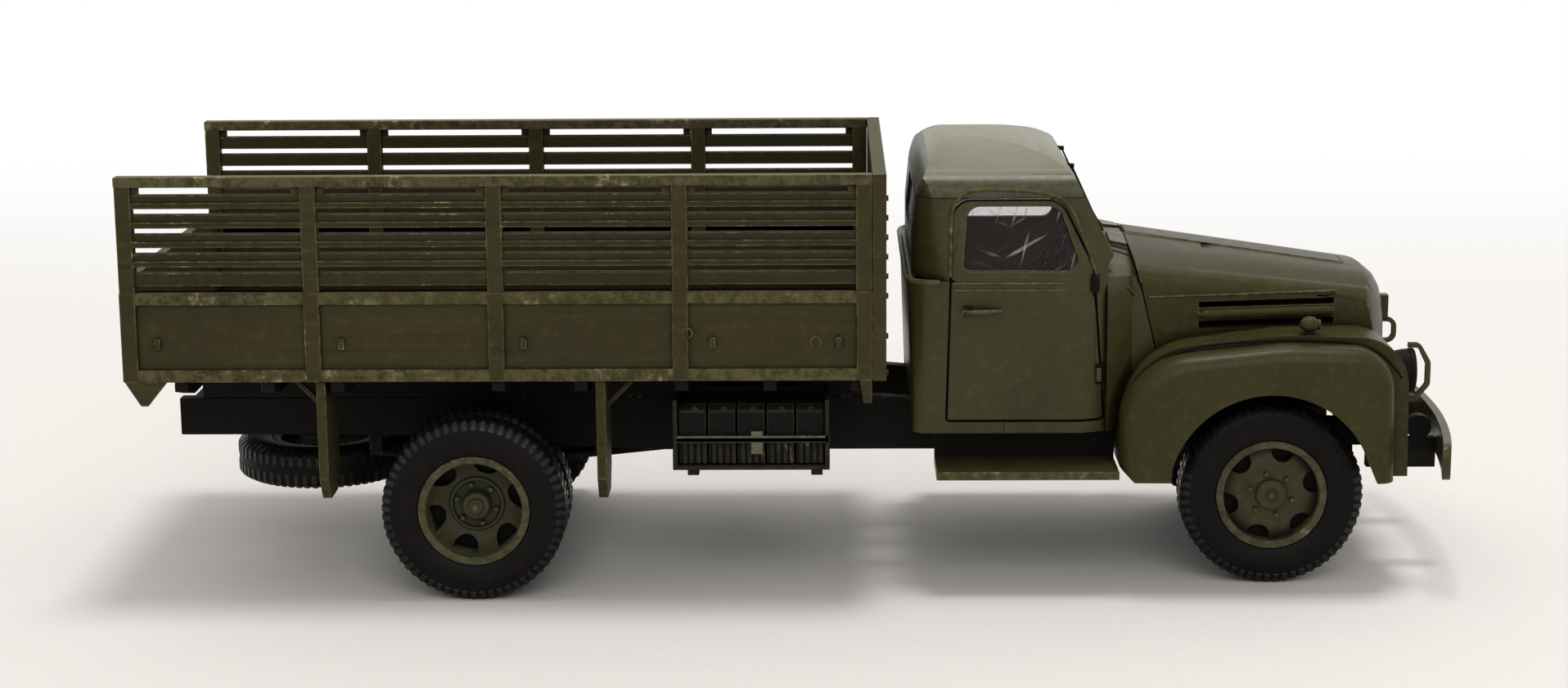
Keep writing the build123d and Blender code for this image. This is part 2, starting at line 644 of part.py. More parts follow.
def cab_solid(inset):
    """The cab as a solid, its outline drawn in by inset, for use inside a part."""
    with BuildSketch(Plane.XZ.offset(cab_half_w)) as side:
        with BuildLine():
            start = (cab_x + 0.24 + back_lean, cab_bottom_z)
            back = (cab_x + 0.24, cab_belt_z)
            eaves = (cab_x + 0.85, 27.07)
            Line(start, back)
            Line(back, eaves)
            ThreePointArc(eaves, (cab_x + 1.40, 29.05), (cab_x + 3.10, 30.72))
            ThreePointArc((cab_x + 3.10, 30.72), (cab_x + 6.30, 30.75), (cab_x + 9.28, 30.26))
            ThreePointArc(
                (cab_x + 9.28, 30.26), (cab_x + 10.75, 29.72), (cab_x + screen_head[0], screen_head[1])
            )
            Polyline(
                (cab_x + screen_head[0], screen_head[1]),
                (cab_x + screen_base[0], screen_base[1]),
                (cab_x + 14.20, 22.90),
                (cab_x + 14.20, cab_bottom_z),
                start,
            )
        make_face()
        if inset:
            offset(amount=-inset, mode=Mode.REPLACE)
    extrude(side.sketch, amount=-2 * cab_half_w)
    with BuildSketch(Plane.YZ.offset(cab_x - 1)) as front:
        with BuildLine():
            half = [(cab_half_w - set_in, z) for set_in, z in side_rows]
            corner = [half[-1]] + [(cab_half_w - set_in, z) for set_in, z in roof_corner]
            roof_w, roof_z = corner[-1]
            Polyline(*[(-y, z) for y, z in half])
            ThreePointArc(*[(-y, z) for y, z in corner])
            ThreePointArc((-roof_w, roof_z), (0, cab_top_z), (roof_w, roof_z))
            ThreePointArc(*reversed(corner))
            Polyline(*reversed(half))
            Line(half[0], (-half[0][0], half[0][1]))
        make_face()
        if inset:
            offset(amount=-inset, mode=Mode.REPLACE)
    extrude(front.sketch, amount=30, mode=Mode.INTERSECT)
    with BuildPart(mode=Mode.PRIVATE) as plans:
        extrude(cab_plan(0, 2.2, inset), amount=cab_belt_z)
        with Locations((0, 0, cab_belt_z)):
            add(extrude(cab_plan(0.24 + upper_set_in, 3.8, inset), amount=20, mode=Mode.PRIVATE))
    add(plans.part, mode=Mode.INTERSECT)
    # the hollow inside starts further back, so that it opens into the cab
    (first_x, *first), *rest = cowl_rows
    rows = [(first_x - 2 * inset, *first), *rest]
    loft([arch(cab_x + at, w - inset, top - inset, crown, r) for at, w, top, crown, r in rows], ruled=True)
    with BuildSketch(Plane.XZ.offset(cab_half_w + 1)) as joint:
        with BuildLine():
            high, low = (joint_x(26.0) - inset, 26.0), (joint_x(9.0) - inset, 9.0)
            Polyline(low, high, (cab_x + 25, 26.0), (cab_x + 25, 9.0), close=True)
        make_face()
    extrude(joint.sketch, amount=-2 * cab_half_w - 2, mode=Mode.SUBTRACT)


# door and window corners: x from the cab's back, z, corner radius
door_points = [(2.90, 11.90, 0.3), (3.30, 27.55, 1.4), (10.9, 27.55, 1.6), (13.20, 22.90, 3.0), (14.10, 11.90, 0.3)]
window_points = [(4.10, 22.60, 0.5), (4.45, 27.00, 0.9), (10.7, 27.0, 1.0), (12.35, 22.60, 0.8)]
hinge_rows = [(13.75, 14.7), (13.20, 20.8)]  # x from the cab's back to the hinge's front, bottom z
rear_window = (5.2, 23.8, 27.2)  # half width, bottom z, top z
screen_window_half_w = cab_half_w - 3.5


def rounded(points, inset=0.0):
    """A filled outline with its own radius at each corner, for use inside a sketch."""
    with BuildLine() as outline:
        FilletPolyline(*[(cab_x + x, z) for x, z, r in points], radius=[r for x, z, r in points], close=True)
    make_face(outline.edges())
    if inset:
        offset(amount=-inset, mode=Mode.REPLACE)


with BuildPart() as cab_outer:
    cab_solid(0)
with BuildPart() as cab_inner:
    cab_solid(cab_wall)
with BuildPart() as cab_glass_inner:
    cab_solid(cab_wall / 2 + glass_t / 2)
with BuildPart() as cab_glass_outer:
    cab_solid(cab_wall / 2 - glass_t / 2)

cab_floor_z = rail_top_z + fit_gap
door_depth = (cab_half_w + 1, cab_half_w - 5.1)  # the door's cut reaches from outside in to here

with BuildPart() as cab_walls:
    add(cab_outer.part)
    add(cab_inner.part, mode=Mode.SUBTRACT)
    block((cab_x - 1, cab_x + 20), (3.1 - cab_half_w, cab_half_w - 3.1), (cab_bottom_z - 1, cab_floor_z), Mode.SUBTRACT)
    for side in (-1, 1):
        with BuildSketch(Plane.XZ.offset(side * door_depth[0])):
            rounded(door_points)
        extrude(amount=side * (door_depth[1] - door_depth[0]), mode=Mode.SUBTRACT)
    half, low_z, high_z = rear_window
    with BuildSketch(Plane.YZ.offset(cab_x - 1)):
        with Locations((0, (low_z + high_z) / 2)):
            RectangleRounded(2 * half, high_z - low_z, 0.8)
    extrude(amount=4, mode=Mode.SUBTRACT)
    with BuildSketch(Plane.YZ.offset(cab_x + 10.0)):
        with Locations((0, 26.15)):
            RectangleRounded(2 * screen_window_half_w, 4.3, 0.8)
    extrude(amount=7, mode=Mode.SUBTRACT)

with BuildPart() as cab_roof:
    add(cab_walls.part)
    split(bisect_by=Plane.XY.offset(cab_gutter_z), keep=Keep.TOP)
keep(cab_roof, "cab_roof")

with BuildPart() as cab_body:
    add(cab_walls.part)
    split(bisect_by=Plane.XY.offset(cab_gutter_z - fit_gap), keep=Keep.BOTTOM)

with BuildPart() as cab_back:
    add(cab_body.part)
    split(bisect_by=Plane.YZ.offset(cab_x + 7.0), keep=Keep.BOTTOM)
keep(cab_back, "cab_back")

with BuildPart() as cowl:
    add(cab_body.part)
    split(bisect_by=Plane.YZ.offset(cab_x + 7.0 + fit_gap), keep=Keep.TOP)
keep(cowl, "cab_front")

door_cut = door_depth[1] - door_depth[0]
with BuildPart() as door:
    with BuildSketch(Plane.XZ.offset(door_depth[0])):
        rounded(door_points, seam)
    extrude(amount=door_cut)
    add(cab_outer.part, mode=Mode.INTERSECT)
    add(cab_inner.part, mode=Mode.SUBTRACT)
    with BuildSketch(Plane.XZ.offset(door_depth[0])):
        rounded(window_points)
    extrude(amount=door_cut, mode=Mode.SUBTRACT)
    skin_y = cab_half_w
    block((cab_x + 3.95, cab_x + 6.15), (-skin_y - 0.34, -skin_y - 0.14), (19.62, 19.88))
    block((cab_x + 3.95, cab_x + 4.40), (-skin_y - 0.34, -skin_y + 0.25), (19.55, 19.95))
    for front, low_z in hinge_rows:
        block((cab_x + front - 0.34, cab_x + front), (-skin_y + 0.30, -skin_y + 0.90), (low_z, low_z + 1.0))
keep_pair(door, "door")

with BuildPart() as door_glass:
    with BuildSketch(Plane.XZ.offset(door_depth[0])):
        rounded(window_points, fit_gap)
    extrude(amount=door_cut)
    add(cab_glass_outer.part, mode=Mode.INTERSECT)
    add(cab_glass_inner.part, mode=Mode.SUBTRACT)
keep_both(door_glass, "door_glass")

with BuildPart() as windscreen:
    with BuildSketch(Plane.YZ.offset(cab_x + 10.0)):
        with Locations((0, 26.15)):
            RectangleRounded(2 * screen_window_half_w - 2 * fit_gap, 4.3 - 2 * fit_gap, 0.8)
    extrude(amount=7)
    add(cab_glass_outer.part, mode=Mode.INTERSECT)
    add(cab_glass_inner.part, mode=Mode.SUBTRACT)
keep(windscreen, "windscreen")

with BuildPart() as rear_glass:
    with BuildSketch(Plane.YZ.offset(cab_x - 1)):
        with Locations((0, (rear_window[1] + rear_window[2]) / 2)):
            RectangleRounded(
                2 * rear_window[0] - 2 * fit_gap, rear_window[2] - rear_window[1] - 2 * fit_gap, 0.8
            )
    extrude(amount=4)
    add(cab_glass_outer.part, mode=Mode.INTERSECT)
    add(cab_glass_inner.part, mode=Mode.SUBTRACT)
keep(rear_glass, "rear_glass")

with BuildPart() as cab_floor:
    cab_solid(cab_wall + fit_gap)
    block(
        (cab_x, cab_x + 14.4),
        (-cab_half_w, cab_half_w),
        (cab_floor_z, cab_floor_z + cab_floor_t),
        Mode.INTERSECT,
    )
keep(cab_floor, "cab_floor")

seat_x = cab_x + 1.6
seat_y = (2.5 - cab_half_w, cab_half_w - 2.5)
seat_top_z = 17.2
with BuildPart() as seat:
    block((seat_x, seat_x + 6.6), seat_y, (cab_floor_z + cab_floor_t + fit_gap, seat_top_z))
    block((seat_x, seat_x + 1.5), seat_y, (seat_top_z, cab_belt_z + 0.7))
    fillet(seat.edges().filter_by(Axis.Y).group_by(Axis.Z)[-1], 0.4)
keep(seat, "seat")

with BuildPart() as dashboard:
    block((cab_x + 12.4, cab_x + 13.4), (2.8 - cab_half_w, cab_half_w - 2.8), (18.9, 21.5))
keep(dashboard, "dashboard")

wheel_centre = (cab_x + 11.0, 5.3, 20.2)
with BuildPart() as steering_wheel:
    with Locations(Location(wheel_centre, (0, -50, 0))):
        Cylinder(2.55, 0.3)
        Cylinder(2.25, 0.3, mode=Mode.SUBTRACT)
        Box(4.8, 0.22, 0.22)
        Box(0.5, 0.5, 0.5)
        with Locations((0, 0, 1.6)):
            Box(0.35, 0.35, 3.2)
keep(steering_wheel, "steering_wheel")

# ---- Hood and grille ----------------------------------------------------------------------
hood_rear_x = joint_x(joint_top_z) + fit_gap
nose_x = bumper_face_x - hood_front_x_gap
hood_wall = 0.50
hood_bottom_z = 14.60

hood_nose_half_w = 6.60
hood_rear_z = 23.55
hood_nose_z = 20.75  # of the top line carried on to the nose
hood_crown_r = 30.0
hood_shoulder_r = 1.3
hood_shoulder_drop = (1.05, 0.80)  # top line down to the shoulder's top, at the rear and the nose
nose_corner_r = 1.9
nose_turn_r = 14.0  # of the nose's front, seen from above
nose_axis_x = nose_x - nose_turn_r
# down the nose's front: distance back from its foot, z, share of the inset taken downwards
nose_rows = [
    (0.0, hood_bottom_z, 0),
    (0.06, 17.30, 0),
    (0.22, 18.65, 0),
    (0.44, 19.55, 0.3),
    (0.84, 20.27, 0.5),
    (1.60, 20.92, 0.7),
    (2.60, 21.36, 0.9),
    (5.00, 22.50, 1.0),
]


def hood_solid(inset):
    """The hood as a solid, drawn in by inset, for use inside a part."""
    run = nose_x - hood_rear_x
    with BuildSketch(Plane.XY.offset(hood_bottom_z)) as plan:
        with BuildLine():
            rear_w, nose_w = hood_rear_half_w - inset, hood_nose_half_w - inset
            FilletPolyline(
                (hood_rear_x, rear_w), (nose_x - inset, nose_w), (nose_x - inset, -nose_w), (hood_rear_x, -rear_w),
                radius=nose_corner_r,
            )
            Line((hood_rear_x, -rear_w), (hood_rear_x, rear_w))
        make_face()
    extrude(plan.sketch, amount=12)
    # the crown, one arc carried along the slope of the top
    slope = Plane(
        origin=(hood_rear_x, 0, hood_rear_z - inset), x_dir=(0, 1, 0), z_dir=(run, 0, hood_nose_z - hood_rear_z)
    )
    with BuildSketch(slope) as crown:
        half_w = hood_rear_half_w + 1
        sag = hood_crown_r - sqrt(hood_crown_r**2 - half_w**2)
        with BuildLine():
            ThreePointArc((-half_w, -sag), (0, 0), (half_w, -sag))
            Polyline((half_w, -sag), (half_w, -15), (-half_w, -15), (-half_w, -sag))
        make_face()
    extrude(crown.sketch, amount=run + 3, both=True, mode=Mode.INTERSECT)
    # each shoulder, one round carried along the edge of the top
    for side in (-1, 1):
        rear_edge = Vector(hood_rear_x, side * (hood_rear_half_w - inset), hood_rear_z - hood_shoulder_drop[0] - inset)
        nose_edge = Vector(nose_x, side * (hood_nose_half_w - inset), hood_nose_z - hood_shoulder_drop[1] - inset)
        along = Plane(origin=rear_edge, x_dir=(0, 1, 0), z_dir=nose_edge - rear_edge)
        r = hood_shoulder_r
        d = r * (1 - sqrt(0.5))
        with BuildSketch(along) as shoulder:
            with BuildLine():
                Line((0, -15), (0, -r))
                ThreePointArc((0, -r), (-side * d, -d), (-side * r, 0))
                Polyline((-side * r, 0), (-side * 9.0, 2.6), (-side * 30, 2.6), (-side * 30, -15), (0, -15))
            make_face()
        extrude(shoulder.sketch, amount=run + 3, both=True, mode=Mode.INTERSECT)
    # the nose, turned about an upright axis, and all that lies behind that axis
    with BuildPart(mode=Mode.PRIVATE) as nose:
        with BuildSketch(Plane.XZ) as front:
            outline = [(nose_x - inset - back, z - inset * share) for back, z, share in nose_rows]
            with BuildLine():
                Polyline(*outline, (nose_axis_x, 22.5), (nose_axis_x, hood_bottom_z), close=True)
            make_face()
        revolve(front.sketch, axis=Axis((nose_axis_x, 0, 0), (0, 0, 1)))
        block((hood_rear_x - 1, nose_axis_x + 0.5), (-12, 12), (hood_bottom_z, 30))
    add(nose.part, mode=Mode.INTERSECT)
    with BuildSketch(Plane.XZ.offset(12)) as joint:
        with BuildLine():
            low, high = joint_x(9.0) + fit_gap + inset, joint_x(26.0) + fit_gap + inset
            Polyline((low, 9.0), (high, 26.0), (hood_rear_x - 6, 26.0), (hood_rear_x - 6, 9.0), close=True)
        make_face()
    extrude(joint.sketch, amount=-24, mode=Mode.SUBTRACT)


strip_half_w = 1.40
strip_h = 0.10
bead_h = 0.28
bead_root = 0.65  # from the hood's plan inwards to the bead's root
# side beads: front end back from the nose, length, bottom z, how far out from the hood's plan
bead_rows = [(4.50, 13.3, 19.95, -0.10), (4.70, 9.9, 18.75, 0.16)]
grille_half_w = 4.4
grille_z = (14.9, 19.0)
with BuildPart() as hood_outer:
    hood_solid(0)
with BuildPart() as hood_inner:
    hood_solid(hood_wall)
with BuildPart() as hood_clear:
    hood_solid(-fit_gap)
with BuildPart() as cab_clear:
    cab_solid(-fit_gap)
with BuildPart() as hood:
    add(hood_outer.part)
    add(hood_inner.part, mode=Mode.SUBTRACT)
    block((hood_rear_x + 2.6, nose_x - 3.0), (-5.6, 5.6), (hood_bottom_z - 1, hood_bottom_z + 1), Mode.SUBTRACT)
    # strip along the middle of the top, and two beads along each side
    with BuildSketch(Plane.XZ.offset(strip_half_w)):
        with BuildLine():
            Polyline(
                (hood_rear_x + 0.1, hood_rear_z - 0.3), (hood_rear_x + 0.1, hood_rear_z + strip_h - 0.02),
                (nose_x - 3.1, hood_nose_z + 0.42 + strip_h), (nose_x - 3.1, hood_nose_z + 0.1), close=True,
            )
        make_face()
    extrude(amount=-2 * strip_half_w)
    for from_nose, length, low_z, bead_out in bead_rows:
        rear, front = nose_x - from_nose - length, nose_x - from_nose
        for side in (-1, 1):
            with BuildSketch(Plane.XY.offset(low_z)):
                with BuildLine():
                    taper = (hood_rear_half_w - hood_nose_half_w) / (nose_x - hood_rear_x)
                    rear_y = hood_nose_half_w + taper * (from_nose + length)
                    front_y = hood_nose_half_w + taper * from_nose
                    Polyline(
                        (rear, side * (rear_y - bead_root)), (rear, side * (rear_y + bead_out)),
                        (front, side * (front_y + bead_out)), (front, side * (front_y - bead_root)), close=True,
                    )
                make_face()
            extrude(amount=bead_h)
    with BuildSketch(Plane.YZ.offset(nose_x - 2.2)):
        with Locations((0, (grille_z[0] + grille_z[1]) / 2)):
            RectangleRounded(2 * grille_half_w, grille_z[1] - grille_z[0], 1.2)
    extrude(amount=4, mode=Mode.SUBTRACT)
keep(hood, "hood")

bar_count = 13
bar_w = 0.30
with BuildPart() as grille:
    with BuildSketch(Plane.YZ.offset(nose_x - 2.2)):
        with Locations((0, (grille_z[0] + grille_z[1]) / 2)):
            RectangleRounded(2 * grille_half_w - 2 * fit_gap, grille_z[1] - grille_z[0] - 2 * fit_gap, 1.2)
    extrude(amount=4)
    add(hood_outer.part, mode=Mode.INTERSECT)
    add(hood_inner.part, mode=Mode.SUBTRACT)
    bar_pitch = (2 * grille_half_w - 1.0) / (bar_count - 1)
    for i in range(bar_count - 1):
        at = -grille_half_w + 0.5 + (i + 0.5) * bar_pitch
        gap = bar_pitch - bar_w
        block((nose_x - 4, nose_x + 1), (at - gap / 2, at + gap / 2), (grille_z[0] + 0.3, grille_z[1] - 0.3), Mode.SUBTRACT)
    latch_x = nose_x - 0.3
    block((latch_x, nose_x + 0.50), (-0.45, 0.45), (16.90, 18.60))
    with BuildSketch(Plane.XZ.offset(0.18)):
        with Locations((nose_x + 0.35, 15.95)):
            RectangleRounded(1.70, 1.90, 0.7)
            RectangleRounded(1.05, 1.25, 0.4, mode=Mode.SUBTRACT)
    extrude(amount=-0.36)
keep(grille, "grille")

# the panel between the fenders under the grille, its slots in line with the grille's bars
apron_x = (nose_x - 0.75, nose_x - 0.35)
apron_slot_count = 8
with BuildPart() as front_apron:
    span = frame_half_w + 0.20 - fit_gap
    block(apron_x, (-span, span), (rail_top[-1][1] + 0.2, hood_bottom_z - fit_gap))
    for i in range(apron_slot_count):
        at = (i - (apron_slot_count - 1) / 2) * bar_pitch * 1.5
        block((apron_x[0] - 1, apron_x[1] + 1), (at - 0.25, at + 0.25), (11.4, hood_bottom_z - 0.6), Mode.SUBTRACT)
keep(front_apron, "front_apron")

# ---- Fenders, boards, bumper, lamps --------------------------------------------------------
fender_y = (-fender_outer_y, -frame_half_w - 0.20)
roll_y = (-11.70, -frame_half_w - 0.20)


lamp_y = 10.0
lamp_z = 15.1
lamp_front_x = front_axle_x + 9.80

# corners of the fender's side outline: x from the front axle, z, radius
fender_rows = [(-10.85, 16.30, 5.2), (0.50, 17.47, 9.0), (8.00, 17.22, 3.0)]
fender_rear = [(-9.90, 7.95), (-10.85, 8.90)]
fender_front = (8.20, 7.85)
apron_reach = 1.20  # the inner part of the front stands this much forward of the outer


def fender_outline(grow, reach=0.0):
    """The fender's side outline, its top grown upwards by grow and its front forwards by reach, for
    use inside a sketch."""
    rear_low, rear_high = [(front_axle_x + x, z) for x, z in fender_rear]
    front_low = (front_axle_x + fender_front[0] + reach, fender_front[1])
    corners = [(front_axle_x + x + (reach if x > 5 else 0), z + grow) for x, z, r in fender_rows]
    with BuildLine() as outline:
        FilletPolyline(rear_high, *corners, front_low, radius=[r + grow for x, z, r in fender_rows])
        Polyline(front_low, rear_low, rear_high)
    make_face(outline.edges())


with BuildPart() as fender:
    with BuildSketch(Plane.XZ.offset(fender_outer_y)):
        fender_outline(0)
    extrude(amount=-(fender_y[1] - fender_y[0]))
    rim_edges = fender.faces().sort_by(Axis.Y)[0].edges().sort_by(Axis.Z)[2:]
    fillet(rim_edges, 1.2)
    with BuildSketch(Plane.XZ.offset(-roll_y[0])):
        fender_outline(0.45, apron_reach)
    extrude(amount=-(roll_y[1] - roll_y[0]))
    with BuildSketch(Plane.XZ.offset(fender_outer_y - fender_wall)):
        fender_outline(0)
        offset(amount=-fender_wall, kind=Kind.INTERSECTION, mode=Mode.REPLACE)
    extrude(amount=-(fender_y[1] - fender_y[0]), mode=Mode.SUBTRACT)
    block((front_axle_x - 8.8, front_axle_x + 7.6), (fender_y[0] + fender_wall, 0), (7.0, 9.0), Mode.SUBTRACT)
    with BuildSketch(Plane.XZ.offset(fender_outer_y + 1)):
        x0 = front_axle_x
        with BuildLine():
            Line((x0 - 7.40, 7.0), (x0 - 7.30, 8.90))
            ThreePointArc((x0 - 7.30, 8.90), (x0 + 0.1, 14.15), (x0 + 6.2, 9.60))
            Polyline((x0 + 6.2, 9.60), (x0 + 7.3, 7.0), (x0 - 7.40, 7.0))
        make_face()
    extrude(amount=-3, mode=Mode.SUBTRACT)
    lamp_hole = Location((front_axle_x + 8.5, -lamp_y, lamp_z), (0, 90, 0))
    with Locations(lamp_hole):
        Cylinder(1.55 + fit_gap, 6, mode=Mode.SUBTRACT)
    add(cab_clear.part, mode=Mode.SUBTRACT)
    add(hood_clear.part, mode=Mode.SUBTRACT)
    marker = (front_axle_x + 2.36, -11.0, 18.5)
    with Locations(marker):
        Box(1.5, 0.9, 0.9)
        Box(0.9, 1.3, 1.3)
    with Locations((marker[0], marker[1], (marker[2] + 16.9) / 2)):
        Box(0.45, 0.45, marker[2] - 16.9)
keep_pair(fender, "fender")

board_x = (rear_axle_x + 32.1, front_axle_x - 10.95)
with BuildPart() as running_board:
    block(board_x, (-14.0, -9.6), (8.20, 8.80))
    block(board_x, (-9.6, -9.3), (8.20, cab_bottom_z - fit_gap))
    for at in (board_x[0] + 2.0, board_x[1] - 3.0):
        block((at - 0.5, at + 0.5), (-9.3, -frame_half_w - fit_gap), (9.0, 9.9))
keep_both(running_board, "running_boards")

lamp_profile = [(0, -2.5), (1.10, -2.2), (1.55, -0.4), (1.55, 0.0), (0, 0.30)]  # radius, depth
with BuildPart() as headlamp:
    with BuildSketch(Plane.XZ.offset(lamp_y)):
        with BuildLine():
            Polyline(*[(lamp_front_x + d, lamp_z + r) for r, d in lamp_profile], close=True)
        make_face()
    revolve(axis=Axis((0, -lamp_y, lamp_z), (1, 0, 0)))
keep_both(headlamp, "headlamps")

# a bar bent to an upright loop round the front of each lamp
guard_t = 0.38
guard_z = (12.95, lamp_z + 1.55 + 2 * fit_gap + guard_t)
guard_reach = 1.27  # beyond the lamp's face
with BuildPart() as lamp_guard:
    with BuildSketch(Plane.XZ.offset(lamp_y + guard_t / 2)):
        with BuildLine() as loop:
            back_x = front_axle_x + fender_front[0] + apron_reach + fit_gap
            front_x = lamp_front_x + guard_reach
            low_z, high_z = guard_z
            FilletPolyline(
                (back_x, low_z), (front_x - 0.9, low_z), (front_x, low_z + 1.1),
                (front_x, high_z - 1.4), (front_x - 0.8, high_z), (back_x, high_z), radius=0.6,
            )
            inner = [(back_x, high_z), (back_x, high_z - guard_t)]
            Line(*inner)
            FilletPolyline(
                (back_x, high_z - guard_t), (front_x - 0.8 - guard_t / 3, high_z - guard_t),
                (front_x - guard_t, high_z - 1.4 - guard_t / 3), (front_x - guard_t, low_z + 1.1 + guard_t / 3),
                (front_x - 0.9 - guard_t / 3, low_z + guard_t), (back_x, low_z + guard_t), radius=0.3,
            )
            Line((back_x, low_z + guard_t), (back_x, low_z))
        make_face()
    extrude(amount=-guard_t)
keep_both(lamp_guard, "lamp_guards")

bumper_half_l = 14.5
bumper_z = (8.05, 10.65)
bumper_bow = 1.6
bumper_t = 0.60
with BuildPart() as bumper:
    with BuildSketch(Plane.XY.offset(bumper_z[0])):
        with BuildLine():
            tip = bumper_face_x - bumper_bow
            Line((tip, -bumper_half_l), (tip - bumper_t, -bumper_half_l))
            ThreePointArc(
                (tip - bumper_t, -bumper_half_l), (bumper_face_x - bumper_t, 0), (tip - bumper_t, bumper_half_l)
            )
            Line((tip - bumper_t, bumper_half_l), (tip, bumper_half_l))
            ThreePointArc((tip, bumper_half_l), (bumper_face_x, 0), (tip, -bumper_half_l))
        make_face()
    extrude(amount=bumper_z[1] - bumper_z[0])
    with BuildSketch(Plane.YZ.offset(bumper_face_x - 4)):
        with Locations((0, sum(bumper_z) / 2)):
            RectangleRounded(2 * bumper_half_l, bumper_z[1] - bumper_z[0], 1.1)
    extrude(amount=6, mode=Mode.INTERSECT)
keep(bumper, "front_bumper")

iron_ear_r = 0.90
with BuildPart() as bumper_iron:
    iron_x = (rear_axle_x + rail_top[-1][0] + fit_gap, bumper_face_x - bumper_t - 0.27)
    block(iron_x, (-frame_half_w, -frame_half_w + 0.8), (7.05, 9.20))
    with Locations(Location((iron_x[1] - 1.25, -frame_half_w + 0.4, 10.00), (90, 0, 0))):
        Cylinder(iron_ear_r, 0.8)
    block((iron_x[0], iron_x[0] + 0.8), (-frame_half_w, -frame_half_w + 0.8), (7.05, 10.40))
keep_both(bumper_iron, "bumper_irons")
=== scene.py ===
import json
import math

import bmesh
import bpy
from mathutils import Matrix, Vector
from mathutils.bvhtree import BVHTree

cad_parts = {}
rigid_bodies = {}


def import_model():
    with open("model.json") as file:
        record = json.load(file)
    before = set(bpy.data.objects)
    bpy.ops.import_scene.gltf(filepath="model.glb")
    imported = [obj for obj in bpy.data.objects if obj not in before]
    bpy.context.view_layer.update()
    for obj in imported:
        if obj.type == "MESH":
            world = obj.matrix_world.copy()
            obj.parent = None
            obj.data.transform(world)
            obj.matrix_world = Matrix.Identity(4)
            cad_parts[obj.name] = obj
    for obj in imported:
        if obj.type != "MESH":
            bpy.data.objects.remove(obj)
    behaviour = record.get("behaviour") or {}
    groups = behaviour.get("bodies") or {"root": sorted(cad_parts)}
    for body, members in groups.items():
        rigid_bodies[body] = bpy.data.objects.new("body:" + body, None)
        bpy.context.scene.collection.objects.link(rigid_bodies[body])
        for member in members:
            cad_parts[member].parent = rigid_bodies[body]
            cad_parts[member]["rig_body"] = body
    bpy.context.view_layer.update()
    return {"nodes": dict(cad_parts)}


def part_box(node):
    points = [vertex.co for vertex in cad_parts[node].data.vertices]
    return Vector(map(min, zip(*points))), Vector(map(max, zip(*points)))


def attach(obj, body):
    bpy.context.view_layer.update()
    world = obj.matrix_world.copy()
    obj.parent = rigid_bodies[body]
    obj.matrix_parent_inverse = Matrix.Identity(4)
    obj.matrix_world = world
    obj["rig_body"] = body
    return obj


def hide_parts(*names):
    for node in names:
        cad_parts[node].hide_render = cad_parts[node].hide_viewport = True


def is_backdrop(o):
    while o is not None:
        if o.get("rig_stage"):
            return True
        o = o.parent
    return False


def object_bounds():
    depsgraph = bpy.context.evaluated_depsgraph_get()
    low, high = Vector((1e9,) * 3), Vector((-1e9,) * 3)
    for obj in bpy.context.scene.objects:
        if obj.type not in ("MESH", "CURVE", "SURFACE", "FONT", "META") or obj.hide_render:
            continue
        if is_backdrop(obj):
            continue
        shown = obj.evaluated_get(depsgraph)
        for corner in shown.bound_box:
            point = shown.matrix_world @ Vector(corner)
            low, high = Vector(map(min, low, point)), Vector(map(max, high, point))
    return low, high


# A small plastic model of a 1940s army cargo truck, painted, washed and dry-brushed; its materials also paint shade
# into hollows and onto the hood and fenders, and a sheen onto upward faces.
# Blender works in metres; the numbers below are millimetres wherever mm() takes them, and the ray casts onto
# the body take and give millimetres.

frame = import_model()
nodes = frame["nodes"]
print("frame:", len(nodes), "nodes")

rearAxle = -22.605  # stations along the truck
frontAxle = 33.135
axleHeight = 6.43
bedRear = -46.535
bedFront = 5.065
cabBack = 7.255


def mm(*values):
    if len(values) == 1:
        return values[0] * 0.001
    return Vector([value * 0.001 for value in values])


# shader expressions


class Wire:  # a socket that takes part in arithmetic
    def __init__(self, paint, socket):
        self.paint, self.socket = paint, socket

    def maths(self, operation, first, second):
        return self.paint.node("ShaderNodeMath", {"operation": operation}, {0: first, 1: second})[0]

    def __add__(self, other):
        return self.maths("ADD", self, other)

    __radd__ = __add__

    def __sub__(self, other):
        return self.maths("SUBTRACT", self, other)

    def __rsub__(self, other):
        return self.maths("SUBTRACT", other, self)

    def __mul__(self, other):
        return self.maths("MULTIPLY", self, other)


